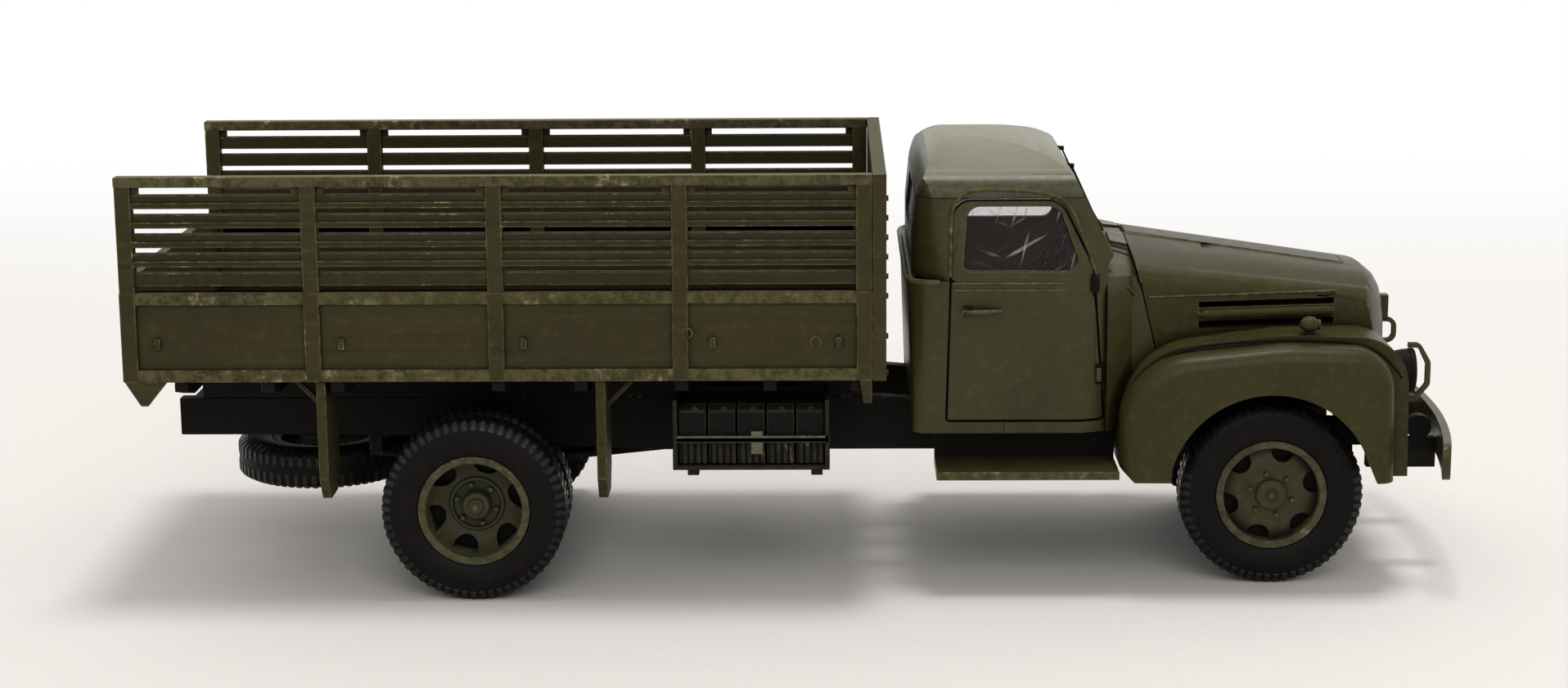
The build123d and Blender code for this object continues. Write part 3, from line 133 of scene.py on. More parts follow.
class Paint:  # one material or world and the nodes that make it
    def __init__(self, name, library="materials"):
        self.material = getattr(bpy.data, library).new(name)
        self.material.use_nodes = True
        self.tree = self.material.node_tree
        self.tree.nodes.clear()
        self.coordinates = self.node("ShaderNodeTexCoord")
        self.place = self.coordinates["Object"]

    def node(self, kind, settings=None, sockets=None):
        made = self.tree.nodes.new(kind)
        for key, value in (settings or {}).items():
            setattr(made, key, value)
        for key, value in (sockets or {}).items():
            if isinstance(value, Wire):
                self.tree.links.new(value.socket, made.inputs[key])
            else:
                made.inputs[key].default_value = value
        wires = {output.name: Wire(self, output) for output in made.outputs}
        wires.update({i: Wire(self, output) for i, output in enumerate(made.outputs)})
        return wires

    def noise(self, scale, detail, roughness=0.55, stretch=(1, 1, 1), offset=(0, 0, 0)):
        where = self.node("ShaderNodeMapping", {}, {"Vector": self.place, "Location": offset, "Scale": stretch})
        sockets = {"Vector": where["Vector"], "Scale": scale, "Detail": detail, "Roughness": roughness}
        return self.node("ShaderNodeTexNoise", {}, sockets)[0]

    def ease(self, value, low, high):  # 0 under low, 1 over high
        sockets = {"Value": value, "From Min": low, "From Max": high}
        return self.node("ShaderNodeMapRange", {"interpolation_type": "SMOOTHSTEP"}, sockets)[0]

    def blend(self, factor, first, second):
        tint = [v if isinstance(v, Wire) else (*v, 1) for v in (first, second)]
        return self.node("ShaderNodeMix", {"data_type": "RGBA"}, {0: factor, 6: tint[0], 7: tint[1]})[2]

    def split(self, vector, axis):
        return self.node("ShaderNodeSeparateXYZ", {}, {0: vector})[axis]

    def bump(self, height, depth, strength):
        return self.node("ShaderNodeBump", {}, {"Strength": strength, "Distance": depth, "Height": height})["Normal"]

    def done(self, **sockets):
        named = {key.replace("_", " "): value for key, value in sockets.items()}
        for key, value in named.items():
            if isinstance(value, tuple):
                named[key] = (*value, 1)
        shader = self.node("ShaderNodeBsdfPrincipled", {}, named)
        self.node("ShaderNodeOutputMaterial", {}, {"Surface": shader["BSDF"]})
        return self.material


oliveLook = {
    "base": (0.049, 0.0455, 0.0150),
    "dark": (0.027, 0.0235, 0.0080),
    "pale": (0.120, 0.110, 0.042),
    "dust": (0.095, 0.074, 0.036),
    "chip": (0.36, 0.32, 0.19),
    "washAndShade": (0.0045, 0.0035, 0.0022),
    "roughness": 0.36,
    "gloss": 0.19,
    "grain": 5200.0,
    "washAndShadeReach": 1.0,
}
bedLook = dict(
    oliveLook, base=(0.047, 0.040, 0.0145), dark=(0.025, 0.020, 0.008), pale=(0.115, 0.100, 0.042), roughness=0.58,
    gloss=0.11, washAndShadeReach=1.3,
)
wheelLook = dict(oliveLook, base=(0.045, 0.045, 0.021), pale=(0.095, 0.095, 0.047), roughness=0.50, gloss=0.14)
chassisLook = dict(
    oliveLook, base=(0.0085, 0.0072, 0.0060), dark=(0.005, 0.004, 0.0035), pale=(0.022, 0.019, 0.013),
    dust=(0.028, 0.022, 0.014), roughness=0.55, gloss=0.07,
)
seatLook = dict(oliveLook, base=(0.040, 0.030, 0.018), pale=(0.09, 0.07, 0.04), roughness=0.7, gloss=0.1)


def matPaint(name, look, worn=0.0, topDustAndSheen=0.0, streak=None, topDustAndSheenFrom=0.10):
    paint = Paint(name)
    height = paint.split(paint.place, "Z")
    broad = paint.noise(110, 3.0)
    mottle = paint.noise(1300, 5.0, 0.65, offset=(0.3, 0.1, 0.2))
    fine = paint.noise(look["grain"], 2.0, 0.5)
    colour = paint.blend(paint.ease(broad, 0.35, 0.75) * 0.45, look["base"], look["dark"])
    colour = paint.blend(paint.ease(mottle, 0.48, 0.80) * 0.30, colour, look["pale"])
    colour = paint.blend(paint.ease(fine, 0.66, 0.78) * 0.35, colour, look["pale"])
    if streak:
        grain = paint.noise(1.0, 6.0, 0.7, stretch=streak)
        colour = paint.blend(paint.ease(grain, 0.54, 0.74) * 0.28, colour, look["pale"])
        colour = paint.blend((1 - paint.ease(grain, 0.30, 0.48)) * 0.5, colour, look["dark"])
    if topDustAndSheen:  # tops lighter: dry-brushed dust plus a painted sheen from the light above
        lift = paint.split(paint.node("ShaderNodeNewGeometry")["Normal"], "Z")
        topDustAndSheenMask = paint.ease(lift, topDustAndSheenFrom, 1.0) * (0.80 + paint.ease(mottle, 0.30, 0.62) * 0.20) * topDustAndSheen
        colour = paint.blend(topDustAndSheenMask, colour, look["pale"])
    if worn:  # rubbed and chipped edges
        rub = paint.noise(1500, 5.0, 0.7, offset=(0.7, 0.4, 0.9))
        patch = paint.noise(130, 2.0, offset=(0.2, 0.8, 0.5))
        colour = paint.blend(paint.ease(rub, 0.38, 0.60) * worn, colour, look["pale"])
        chips = paint.ease(rub, 0.55, 0.62) * paint.ease(patch, 0.52, 0.60)
        colour = paint.blend(chips * worn * 0.75, colour, look["chip"])
    low = 1 - paint.ease(height, mm(4.0), mm(13.0))  # dust on what is near the ground
    colour = paint.blend(low * paint.ease(mottle, 0.40, 0.70) * 0.25, colour, look["dust"])
    occlusionShade = paint.node("ShaderNodeAmbientOcclusion", {"samples": 6}, {"Distance": mm(look["washAndShadeReach"])})["AO"]
    colour = paint.blend((1 - paint.ease(occlusionShade, 0.35, 0.95)) * 0.85, colour, look["washAndShade"])  # dark wash in the joints, plus painted shade: darker wherever ambient occlusion finds surfaces closing in
    rough = look["roughness"] + (mottle - 0.5) * 0.30
    relief = fine * 0.5 + mottle * 0.6
    return paint.done(
        Base_Color=colour, Roughness=rough, Specular_IOR_Level=look["gloss"], Normal=paint.bump(relief, mm(0.03), 0.5)
    )


boardGrain = (60, 1500, 1500)  # streaks along the boards
bodyPaint = matPaint("oliveBody", oliveLook)
bodyEdge = matPaint("oliveBodyEdge", oliveLook, worn=0.75)
# hood and fender paint: a darker copy of the body paint, painted shade for their deeper shading
frontShadedLook = dict(
    oliveLook, base=(0.045, 0.0405, 0.0125), dark=(0.025, 0.021, 0.007), pale=(0.125, 0.112, 0.042), gloss=0.12,
)
frontShadedPaint = matPaint("oliveFrontShaded", frontShadedLook)
bedPaint = matPaint("oliveBed", bedLook, topDustAndSheen=0.3, streak=boardGrain)
bedEdge = matPaint("oliveBedEdge", bedLook, worn=0.95, topDustAndSheen=0.3, streak=boardGrain)
slatLook = dict(bedLook, base=(0.034, 0.029, 0.0110), pale=(0.090, 0.078, 0.034))
bedSlat = matPaint("oliveBedSlat", slatLook, topDustAndSheen=0.5, streak=boardGrain)
wheelPaint = matPaint("oliveWheel", wheelLook)
wheelEdge = matPaint("oliveWheelEdge", wheelLook, worn=0.85)
chassisPaint = matPaint("blackBrownChassis", chassisLook)
chassisEdge = matPaint("blackBrownChassisEdge", chassisLook, worn=0.5)
seatPaint = matPaint("brownSeat", seatLook)
seatEdge = matPaint("brownSeatEdge", seatLook, worn=0.6)
railLook = dict(bedLook, base=(0.060, 0.051, 0.019), pale=(0.145, 0.126, 0.062))
bedRail = matPaint("oliveBedRail", railLook, worn=0.55, topDustAndSheen=0.5, streak=boardGrain)
rackPaint = matPaint("rackPaint", dict(chassisLook, base=(0.020, 0.018, 0.013), pale=(0.050, 0.046, 0.032)), worn=0.4)
barPaint = matPaint("barPaint", dict(wheelLook, base=(0.105, 0.110, 0.062), pale=(0.19, 0.19, 0.12)), worn=0.5)
panelLine = matPaint("panelLine", dict(chassisLook, base=(0.006, 0.005, 0.0032), dark=(0.004, 0.003, 0.002)))

tyreLook = {"base": (0.0062, 0.0048, 0.0046), "pale": (0.014, 0.0115, 0.0105), "dust": (0.034, 0.031, 0.029)}


def tyrePaint(name, worn):
    paint = Paint(name)
    mottle = paint.noise(700, 5.0, 0.6)
    fine = paint.noise(4200, 2.0)
    colour = paint.blend(paint.ease(mottle, 0.45, 0.75) * 0.5, tyreLook["base"], tyreLook["pale"])
    if worn:
        colour = paint.blend(paint.ease(fine, 0.45, 0.66) * 0.4, colour, tyreLook["dust"])
    return paint.done(
        Base_Color=colour, Roughness=(0.34 if worn else 0.48) + (mottle - 0.5) * 0.3,
        Specular_IOR_Level=0.22 if worn else 0.08, Normal=paint.bump(fine + mottle, mm(0.03), 0.4),
    )


tyreRubber = tyrePaint("tyreWall", False)
tyreTread = tyrePaint("tyreTread", True)


def clearSheet(name, tint, haze, dense):
    paint = Paint(name)
    patch = paint.noise(260, 2.0)
    marks = paint.ease(paint.noise(3800, 2.0), 0.70, 0.76) * 0.5
    for turn in (0.5, -0.35, 1.2):  # long fine scratches three ways
        turned = paint.node("ShaderNodeMapping", {}, {"Vector": paint.place, "Rotation": (turn * 0.8, turn, 0)})
        line = paint.node("ShaderNodeMapping", {}, {"Vector": turned["Vector"], "Scale": (170, 170, 3600)})
        scratch = paint.node("ShaderNodeTexNoise", {}, {"Vector": line["Vector"], "Scale": 1.0, "Detail": 1.0})[0]
        marks = marks + paint.ease(scratch, 0.66, 0.72) * paint.ease(patch, 0.40, 0.54) * 0.8
    return paint.done(
        Base_Color=paint.blend(marks, tint, haze), Alpha=marks * 0.35 + dense, Roughness=0.08 + marks * 0.3,
        Specular_IOR_Level=0.05,
    )


glassSheet = clearSheet("clearPlastic", (0.115, 0.095, 0.095), (0.50, 0.49, 0.48), 0.14)
lensSheet = clearSheet("lampLens", (0.30, 0.30, 0.29), (0.45, 0.45, 0.44), 0.30)


def metalPaint(name, tint, roughness):
    paint = Paint(name)
    mottle = paint.noise(900, 4.0)
    colour = paint.blend(mottle, tint, tuple(v * 0.45 for v in tint))
    return paint.done(Base_Color=colour, Metallic=1.0, Roughness=roughness + (mottle - 0.5) * 0.3)


lampMetal = metalPaint("lampMetal", (0.42, 0.41, 0.39), 0.30)
print("materials made")

# shaping helpers

mergeDistance = 1e-7  # metres, for points that coincide


def sideSpan(side, outer, inner):
    return (outer * side, inner * side) if side < 0 else (inner, outer)


def addBlock(shape, x, y, z, material=0):
    low, high = mm(x[0], y[0], z[0]), mm(x[1], y[1], z[1])
    place = Matrix.Translation((low + high) / 2) @ Matrix.Diagonal((*(high - low), 1))
    paintFaces(bmesh.ops.create_cube(shape, size=1.0, matrix=place)["verts"], material)


def addRod(shape, start, end, radius, sides=12, material=0):
    start, end = mm(*start), mm(*end)
    along = end - start
    turn = along.to_track_quat("Z", "Y").to_matrix().to_4x4()
    made = bmesh.ops.create_cone(
        shape, cap_ends=True, segments=sides, radius1=mm(radius), radius2=mm(radius), depth=along.length,
        matrix=Matrix.Translation((start + end) / 2) @ turn,
    )
    paintFaces(made["verts"], material)


def addBall(shape, centre, radii, detail):
    place = Matrix.Translation(mm(*centre)) @ Matrix.Diagonal((*mm(*radii), 1))
    bmesh.ops.create_uvsphere(shape, u_segments=detail, v_segments=detail // 2 + 2, radius=1.0, matrix=place)


def paintFaces(verts, material):
    for face in {face for vert in verts for face in vert.link_faces}:
        face.material_index = material


# an outline of (distance along the axis, radius) turned round the axis
def addTurned(shape, outline, centre, axis, steps, material=0, closed=True):
    axis = Vector(axis).normalized()
    side = axis.orthogonal().normalized()
    middle = mm(*centre)
    verts = [shape.verts.new(middle + axis * mm(along) + side * mm(max(radius, 0.0))) for along, radius in outline]
    pairs = list(zip(verts, verts[1:])) + ([(verts[-1], verts[0])] if closed else [])
    edges = [shape.edges.new(pair) for pair in pairs]
    before = set(shape.faces)
    bmesh.ops.spin(shape, geom=verts + edges, cent=middle, axis=axis, angle=math.tau, steps=steps, use_merge=True)
    finishNew(shape, before, material)


def finishNew(shape, before, material):  # before holds the faces that were there already
    made = [face for face in shape.faces if face not in before]
    for face in made:
        face.material_index = material
    bmesh.ops.remove_doubles(shape, verts=list({vert for face in made for vert in face.verts}), dist=mergeDistance)
    bmesh.ops.recalc_face_normals(shape, faces=[face for face in shape.faces if face not in before])


def addHull(shape, corners, material):
    made = bmesh.ops.convex_hull(shape, input=[shape.verts.new(corner) for corner in corners])
    for face in made["geom"]:
        if isinstance(face, bmesh.types.BMFace):
            face.material_index = material


def addPipe(shape, points, radius, material=0, curved=True, sides=2):
    line = bpy.data.curves.new("pipe", "CURVE")
    line.dimensions = "3D"
    line.bevel_depth, line.bevel_resolution, line.use_fill_caps = mm(radius), sides, True
    spline = line.splines.new("NURBS" if curved else "POLY")
    spline.points.add(len(points) - 1)
    for point, place in zip(spline.points, points):
        point.co = (*mm(*place), 1)
    if curved:
        spline.order_u, spline.use_endpoint_u, spline.resolution_u = 3, True, 4
    holder = bpy.data.objects.new("pipe", line)
    mesh = bpy.data.meshes.new_from_object(holder)
    before = set(shape.faces)
    shape.from_mesh(mesh)
    finishNew(shape, before, material)
    bpy.data.objects.remove(holder)
    bpy.data.curves.remove(line)
    bpy.data.meshes.remove(mesh)


def roundEdges(shape, width, segments=2, sharpest=28, clamped=True):  # the rounds take material 1
    sharp = [e for e in shape.edges if e.is_manifold and e.calc_face_angle(0.0) > math.radians(sharpest)]
    made = bmesh.ops.bevel(
        shape, geom=sharp, offset=mm(width), offset_type="OFFSET", affect="EDGES", segments=segments, profile=0.5,
        material=-1, clamp_overlap=clamped,
    )
    for face in made["faces"]:
        face.material_index = 1


def finishPiece(shape, name, body, materials, standsFor=(), smooth=35):
    for face in shape.faces:
        face.smooth = True
    for edge in shape.edges:
        edge.smooth = not edge.is_manifold or edge.calc_face_angle(0.0) < math.radians(smooth)
    mesh = bpy.data.meshes.new(name)
    shape.to_mesh(mesh)
    shape.free()
    for material in materials:
        mesh.materials.append(material)
    piece = bpy.data.objects.new(name, mesh)
    bpy.context.scene.collection.objects.link(piece)
    weigh = piece.modifiers.new("cornerNormals", "WEIGHTED_NORMAL")
    weigh.keep_sharp = True
    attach(piece, body)
    if standsFor:
        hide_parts(*standsFor)


def cutAway(shape, cutter):  # takes the cutter's solids out of the shape
    holders = []
    for part, label in ((shape, "kept"), (cutter, "cutter")):
        mesh = bpy.data.meshes.new(label)
        part.to_mesh(mesh)
        part.free()
        holder = bpy.data.objects.new(label, mesh)
        bpy.context.scene.collection.objects.link(holder)
        holders.append(holder)
    kept, tool = holders
    cut = kept.modifiers.new("cut", "BOOLEAN")
    cut.operation, cut.solver, cut.object = "DIFFERENCE", "EXACT", tool
    bpy.context.view_layer.update()
    mesh = bpy.data.meshes.new_from_object(kept.evaluated_get(bpy.context.evaluated_depsgraph_get()))
    result = bmesh.new()
    result.from_mesh(mesh)
    bmesh.ops.remove_doubles(result, verts=result.verts, dist=mergeDistance)
    for holder in holders:
        old = holder.data
        bpy.data.objects.remove(holder)
        bpy.data.meshes.remove(old)
    bpy.data.meshes.remove(mesh)
    return result


def copyNode(name):
    shape = bmesh.new()
    shape.from_mesh(nodes[name].data)
    for face in shape.faces:
        face.material_index = 0
    bmesh.ops.remove_doubles(shape, verts=shape.verts, dist=mm(0.001))
    bmesh.ops.dissolve_degenerate(shape, dist=mm(0.01), edges=shape.edges)
    bmesh.ops.dissolve_limit(shape, angle_limit=math.radians(0.6), verts=shape.verts, edges=shape.edges)
    return shape


seamReach = 0.30  # how near another panel an edge is to count as a seam


# a CAD node's copy with cuts, rounded and worn edges, dark seams (material 2) near other panels, and added pieces
def dressed(
    name, materials, width=0.07, segments=2, cutter=None, extra=None, near=(), smooth=35, clamped=True,
):
    shape = copyNode(name)
    if cutter:
        shape = cutAway(shape, cutter)
    roundEdges(shape, width, segments, smooth - 7, clamped)
    trees = [treeOf(other) for other in near if other != name]
    for face in shape.faces:
        if trees and face.material_index == 1:
            spot = face.calc_center_median()
            if any(tree.find_nearest(spot, mm(seamReach))[0] is not None for tree in trees):
                face.material_index = 2
    if extra:
        extra(shape)
    finishPiece(shape, name + "_dressed", nodes[name]["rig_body"], materials, (name,), smooth)


def treeOf(*names):
    shape = bmesh.new()
    for name in names:
        shape.from_mesh(nodes[name].data)
    tree = BVHTree.FromBMesh(shape)
    shape.free()
    return tree


bodyTree = treeOf("cab_back", "cab_front", "cab_roof", "door_right", "door_left", "hood", "windscreen")


def hitBody(start, direction):  # where a ray from outside meets the cab or hood
    spot = bodyTree.ray_cast(mm(*start), Vector(direction))[0]
    return None if spot is None else spot * 1000


def onSide(x, z, side, proud=0.0):
    for nudge in (0, 0.15, -0.15, 0.3, -0.3):  # past a seam
        spot = hitBody((x + nudge, side * 30, z), (0, -side, 0))
        if spot is not None and spot.y * side > 5:
            return (x, spot.y + side * proud, z)
    raise ValueError(f"nothing at {x}, {z}")


def onTop(x, y):
    return (x, y, hitBody((x, y, 50), (0, 0, -1)).z)


def onFront(y, z, proud):
    spot = hitBody((60, y, z), (-1, 0, 0))
    return (spot.x + proud, y, z)


# camera, light and floor

view = {
    "place": (2.145, -206.65, 58.53),
    "yaw": -0.944,
    "pitch": 11.894,
    "roll": -0.388,
    "lens": 65.72,
    "sensor": 36.0,
    "clip": (0.005, 20.0),
}


def makeCamera():
    yaw, pitch, roll = (math.radians(view[key]) for key in ("yaw", "pitch", "roll"))
    forward = Vector((math.sin(yaw) * math.cos(pitch), math.cos(yaw) * math.cos(pitch), -math.sin(pitch)))
    right = Vector((math.cos(yaw), -math.sin(yaw), 0))
    up = right.cross(forward)
    across = right * math.cos(roll) + up * math.sin(roll)
    above = up * math.cos(roll) - right * math.sin(roll)
    lens = bpy.data.cameras.new("camera")
    lens.sensor_width, lens.lens = view["sensor"], view["lens"]
    lens.clip_start, lens.clip_end = view["clip"]
    camera = bpy.data.objects.new("camera", lens)
    camera.matrix_world = Matrix((across, above, -forward)).transposed().to_4x4()
    camera.matrix_world.translation = mm(*view["place"])
    bpy.context.scene.collection.objects.link(camera)
    bpy.context.scene.camera = camera


studio = {
    "floor": (0.82, 0.79, 0.755),
    "skyTint": (1.0, 0.985, 0.96, 1),
    "sky": (0.19, 0.80),  # its light low in front and high behind
    "skyReach": (-0.5, 1.2),
    "key": {"place": (0.05, 0.045, 0.62), "size": 0.16, "power": 1.62},
    "fill": {"place": (0.05, -0.60, 0.44), "size": 0.50, "power": 1.30},
    "aim": (0, 0, 0.012),
    "fade": (0.04, 0.21),  # where the floor turns into the white backdrop
    "floorHalf": 3.0,
}


def seenDirectly(paint):
    rays = paint.node("ShaderNodeLightPath")
    return rays["Is Camera Ray"] + rays["Is Transmission Ray"] + rays["Is Glossy Ray"]


def makeStage():
    scene = bpy.context.scene
    scene.view_settings.view_transform = "Standard"
    sky = Paint("studio", "worlds")
    scene.world = sky.material
    above = sky.coordinates["Generated"]
    lean = sky.split(above, "Y") + sky.split(above, "Z")
    (low, high), (front, back) = studio["skyReach"], studio["sky"]
    levels = {"Value": lean, "From Min": low, "From Max": high, "To Min": front, "To Max": back}
    level = sky.node("ShaderNodeMapRange", {}, levels)[0]
    lit = sky.node("ShaderNodeBackground", {}, {"Color": studio["skyTint"], "Strength": level})
    shown = sky.node("ShaderNodeBackground", {}, {"Color": (1, 1, 1, 1)})
    mixed = sky.node("ShaderNodeMixShader", {}, {0: seenDirectly(sky), 1: lit[0], 2: shown[0]})
    sky.node("ShaderNodeOutputWorld", {}, {"Surface": mixed[0]})
    for label in ("key", "fill"):
        lamp = bpy.data.lights.new(label, "AREA")
        lamp.shape, lamp.size, lamp.energy = "DISK", studio[label]["size"], studio[label]["power"]
        holder = bpy.data.objects.new(label, lamp)
        holder.location = studio[label]["place"]
        holder.rotation_euler = (Vector(studio["aim"]) - holder.location).to_track_quat("-Z", "Y").to_euler()
        scene.collection.objects.link(holder)
    shape = bmesh.new()
    bmesh.ops.create_grid(shape, x_segments=1, y_segments=1, size=studio["floorHalf"])
    mesh = bpy.data.meshes.new("floor")
    shape.to_mesh(mesh)
    shape.free()
    floor = bpy.data.objects.new("floor", mesh)
    scene.collection.objects.link(floor)
    paint = Paint("paleFloor")
    fleck = paint.noise(900, 4.0)
    colour = paint.blend(paint.ease(fleck, 0.3, 0.7), studio["floor"], tuple(v * 0.985 for v in studio["floor"]))
    plain = paint.node("ShaderNodeBsdfPrincipled", {}, {"Base Color": colour, "Roughness": 0.75})
    glow = paint.node("ShaderNodeEmission", {}, {"Color": (1, 1, 1, 1), "Strength": 1.0})
    away = paint.ease(paint.split(paint.place, "Y"), *studio["fade"]) * seenDirectly(paint)
    mixed = paint.node("ShaderNodeMixShader", {}, {0: away, 1: plain["BSDF"], 2: glow["Emission"]})
    paint.node("ShaderNodeOutputMaterial", {}, {"Surface": mixed[0]})
    mesh.materials.append(paint.material)
    floor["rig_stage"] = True


makeCamera()
makeStage()
print("camera, lamps and floor made")

# wheels

wheelSize = {
    "tyreOutline": [
        (1.19, 3.95), (1.24, 4.02), (1.33, 4.22), (1.43, 4.55), (1.47, 4.95), (1.45, 5.35), (1.38, 5.76), (1.29, 6.08),
        (1.13, 6.28), (0.90, 6.37), (0.45, 6.39),
    ],
    "lugCount": 60,
    "lugWidth": 0.36,
    "lugTip": (6.0, 0.86),  # beyond this radius the lugs are this much narrower
    "lug": ((0.30, 6.25), (0.30, 6.43), (0.96, 6.43), (1.19, 6.28), (1.44, 5.82), (1.36, 5.72)),
    "rimRadius": 3.93,
    "wellRadius": 3.34,
    "rimHalf": 1.22,
    "innerRim": [
        (1.12, 3.93), (1.22, 3.85), (1.22, 3.45), (1.0, 3.34), (-1.0, 3.34), (-1.22, 3.45), (-1.22, 3.85),
        (-1.12, 3.93),
    ],
    "innerDisc": [(0.35, 3.36), (0.35, 1.0), (0.05, 1.0), (0.05, 3.36)],
    "hubRadius": 1.05,
    "brake": (3.30, 1.0),  # outer and inner radius of the brake drum behind the holes
    "studCount": 6,
    "studRadius": 0.17,
    "holeCount": 6,
    "firstHole": 30,
    "nubRadius": 0.26,
}
frontWheelSize = {
    "tread": 10.20,
    "disc": [
        (0.45, 3.40), (0.52, 3.05), (0.74, 2.60), (0.84, 2.25), (0.86, 1.85), (0.92, 1.55), (0.97, 1.20), (0.97, 1.0),
        (0.60, 1.0), (0.55, 2.20), (0.15, 3.40),
    ],
    "hub": [
        (0.60, 0.0), (0.60, 1.10), (1.14, 1.10), (1.24, 1.04), (1.30, 0.92), (1.30, 0.50), (1.22, 0.44), (1.22, 0.0),
    ],
    "studAt": 1.52,
    "stud": (0.85, 1.16),
    "holeRadius": 0.80,
    "holeAt": 3.14,
    "brake": (-0.1, -0.6),
}
rearWheelSize = {
    "tread": 14.02,
    "twinGap": 3.35,
    "disc": [
        (0.75, 3.40), (0.10, 3.20), (-0.45, 2.75), (-0.80, 2.30), (-0.88, 1.96), (-0.74, 1.88), (-0.72, 1.70),
        (-0.90, 1.60), (-0.92, 1.0), (-1.22, 1.0), (-1.22, 2.20), (-0.85, 2.75), (-0.30, 3.25), (0.35, 3.38),
    ],
    "hub": [
        (-1.22, 0.0), (-1.22, 1.05), (-0.30, 0.98), (-0.12, 0.90), (-0.06, 0.78), (-0.06, 0.56), (0.12, 0.52),
        (0.18, 0.44), (0.18, 0.0),
    ],
    "studAt": 1.42,
    "stud": (-0.92, -0.62),
    "holeRadius": 0.92,
    "holeAt": 3.20,
    "brake": (-1.30, -1.45),
}


def addTyre(shape, centre, axis):
    half = wheelSize["tyreOutline"]
    outline = half + [(-along, radius) for along, radius in reversed(half)]
    addTurned(shape, outline, centre, axis, steps=96)
    axis = Vector(axis).normalized()
    side = axis.orthogonal().normalized()
    count, width, middle = wheelSize["lugCount"], wheelSize["lugWidth"], mm(*centre)
    tipFrom, tipWidth = wheelSize["lugTip"]
    for i in range(count):
        for across in (-1, 1):
            turn = math.tau * (i + (0.25 if across > 0 else -0.25)) / count
            radial = Matrix.Rotation(turn, 3, axis) @ side
            around = axis.cross(radial)
            outward = axis * across
            corners = []
            for along, radius in wheelSize["lug"]:
                for sway in (-0.5, 0.5):
                    narrow = 1.0 if radius < tipFrom else tipWidth
                    corners.append(
                        middle + outward * mm(along) + radial * mm(radius) + around * mm(sway * width * narrow)
                    )
            addHull(shape, corners, material=1)


def addWheel(shape, centre, outward, size, hub=True):  # outward is the way the wheel's face looks
    axis = Vector(outward)
    rim, well, half = wheelSize["rimRadius"], wheelSize["wellRadius"], wheelSize["rimHalf"]
    outline = [
        (half - 0.10, rim), (half, rim - 0.07), (half, well + 0.10), (half - 0.06, well + 0.02), (half - 0.40, well),
        (0.10 - half, well), (-half, well + 0.2), (-half, rim - 0.08), (0.10 - half, rim),
    ]
    disc = bmesh.new()
    addTurned(disc, size["disc"], centre, axis, steps=72)
    cutter = bmesh.new()
    side = axis.orthogonal().normalized()
    for i in range(wheelSize["holeCount"]):
        turn = math.radians(wheelSize["firstHole"]) + math.tau * i / wheelSize["holeCount"]
        radial = Matrix.Rotation(turn, 3, axis) @ side
        spot = Vector(centre) + radial * size["holeAt"]
        addRod(cutter, spot - axis * 2, spot + axis * 2, size["holeRadius"], sides=28)
    disc = cutAway(disc, cutter)
    mesh = bpy.data.meshes.new("disc")
    disc.to_mesh(mesh)
    disc.free()
    shape.from_mesh(mesh)
    bpy.data.meshes.remove(mesh)
    addTurned(shape, outline, centre, axis, steps=96, material=1)
    if hub:
        (face, back), (outer, inner) = size["brake"], wheelSize["brake"]
        brake = [(face, outer), (back, outer), (back, inner), (face, inner)]
        addTurned(shape, brake, centre, axis, steps=40, material=2)
        addTurned(shape, size["hub"], centre, axis, steps=40, closed=False)
        for i in range(wheelSize["studCount"]):
            radial = Matrix.Rotation(math.tau * i / wheelSize["studCount"], 3, axis) @ side
            start, end = (Vector(centre) + radial * size["studAt"] + axis * along for along in size["stud"])
            addRod(shape, start, end, wheelSize["studRadius"], sides=6, material=1)
        nub = Vector(centre) + axis * size["hub"][-2][0]
        addRod(shape, nub - axis * 0.05, nub + axis * 0.10, wheelSize["nubRadius"], sides=6, material=1)


def finishTyre(shape, node, body):
    finishPiece(shape, f"{node}_treaded", body, [tyreRubber, tyreTread], (node,), smooth=30)


def finishWheel(shape, node, body):
    finishPiece(shape, f"{node}_pressed", body, [wheelPaint, wheelEdge, chassisPaint], (node,))


for side, sideName in ((-1, "right"), (1, "left")):
    outward = Vector((0, side, 0))
    frontCentre = (frontAxle, side * frontWheelSize["tread"], axleHeight)
    outerCentre = (rearAxle, side * rearWheelSize["tread"], axleHeight)
    innerCentre = (rearAxle, side * (rearWheelSize["tread"] - rearWheelSize["twinGap"]), axleHeight)

    shape = bmesh.new()
    addTyre(shape, frontCentre, outward)
    finishTyre(shape, f"front_tyre_{sideName}", f"front_{sideName}_wheel")
    shape = bmesh.new()
    addWheel(shape, frontCentre, outward, frontWheelSize)
    finishWheel(shape, f"front_wheel_{sideName}", f"front_{sideName}_wheel")
    shape = bmesh.new()
    addTyre(shape, outerCentre, outward)
    addTyre(shape, innerCentre, outward)
    finishTyre(shape, f"rear_tyres_{sideName}", f"rear_{sideName}_wheels")
    shape = bmesh.new()
    addWheel(shape, outerCentre, outward, rearWheelSize)
    addTurned(shape, wheelSize["innerRim"], innerCentre, outward, steps=72, material=1)
    addTurned(shape, wheelSize["innerDisc"], innerCentre, outward, steps=48)
    start, end = (Vector(centre) - outward * 1.1 for centre in (innerCentre, outerCentre))
    addRod(shape, start, end, wheelSize["hubRadius"], sides=32)
    finishWheel(shape, f"rear_wheels_{sideName}", f"rear_{sideName}_wheels")

spareLow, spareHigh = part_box("spare_tyre")
spareCentre = tuple((spareLow + spareHigh) / 2 * 1000)
shape = bmesh.new()
addTyre(shape, spareCentre, (0, 0, 1))
finishTyre(shape, "spare_tyre", "chassis")
shape = bmesh.new()
addWheel(shape, spareCentre, (0, 0, -1), frontWheelSize, hub=False)
finishWheel(shape, "spare_wheel", "chassis")
print("wheels made")

# plain dressed nodes

body = [bodyPaint, bodyEdge, panelLine]
panels = (
    "cab_back", "cab_front", "cab_roof", "door_right", "door_left", "hood", "grille", "fender_right", "fender_left",
)
bed = [bedPaint, bedEdge, bedRail, bedSlat]
chassis = [chassisPaint, chassisEdge]
glass = [glassSheet, glassSheet]

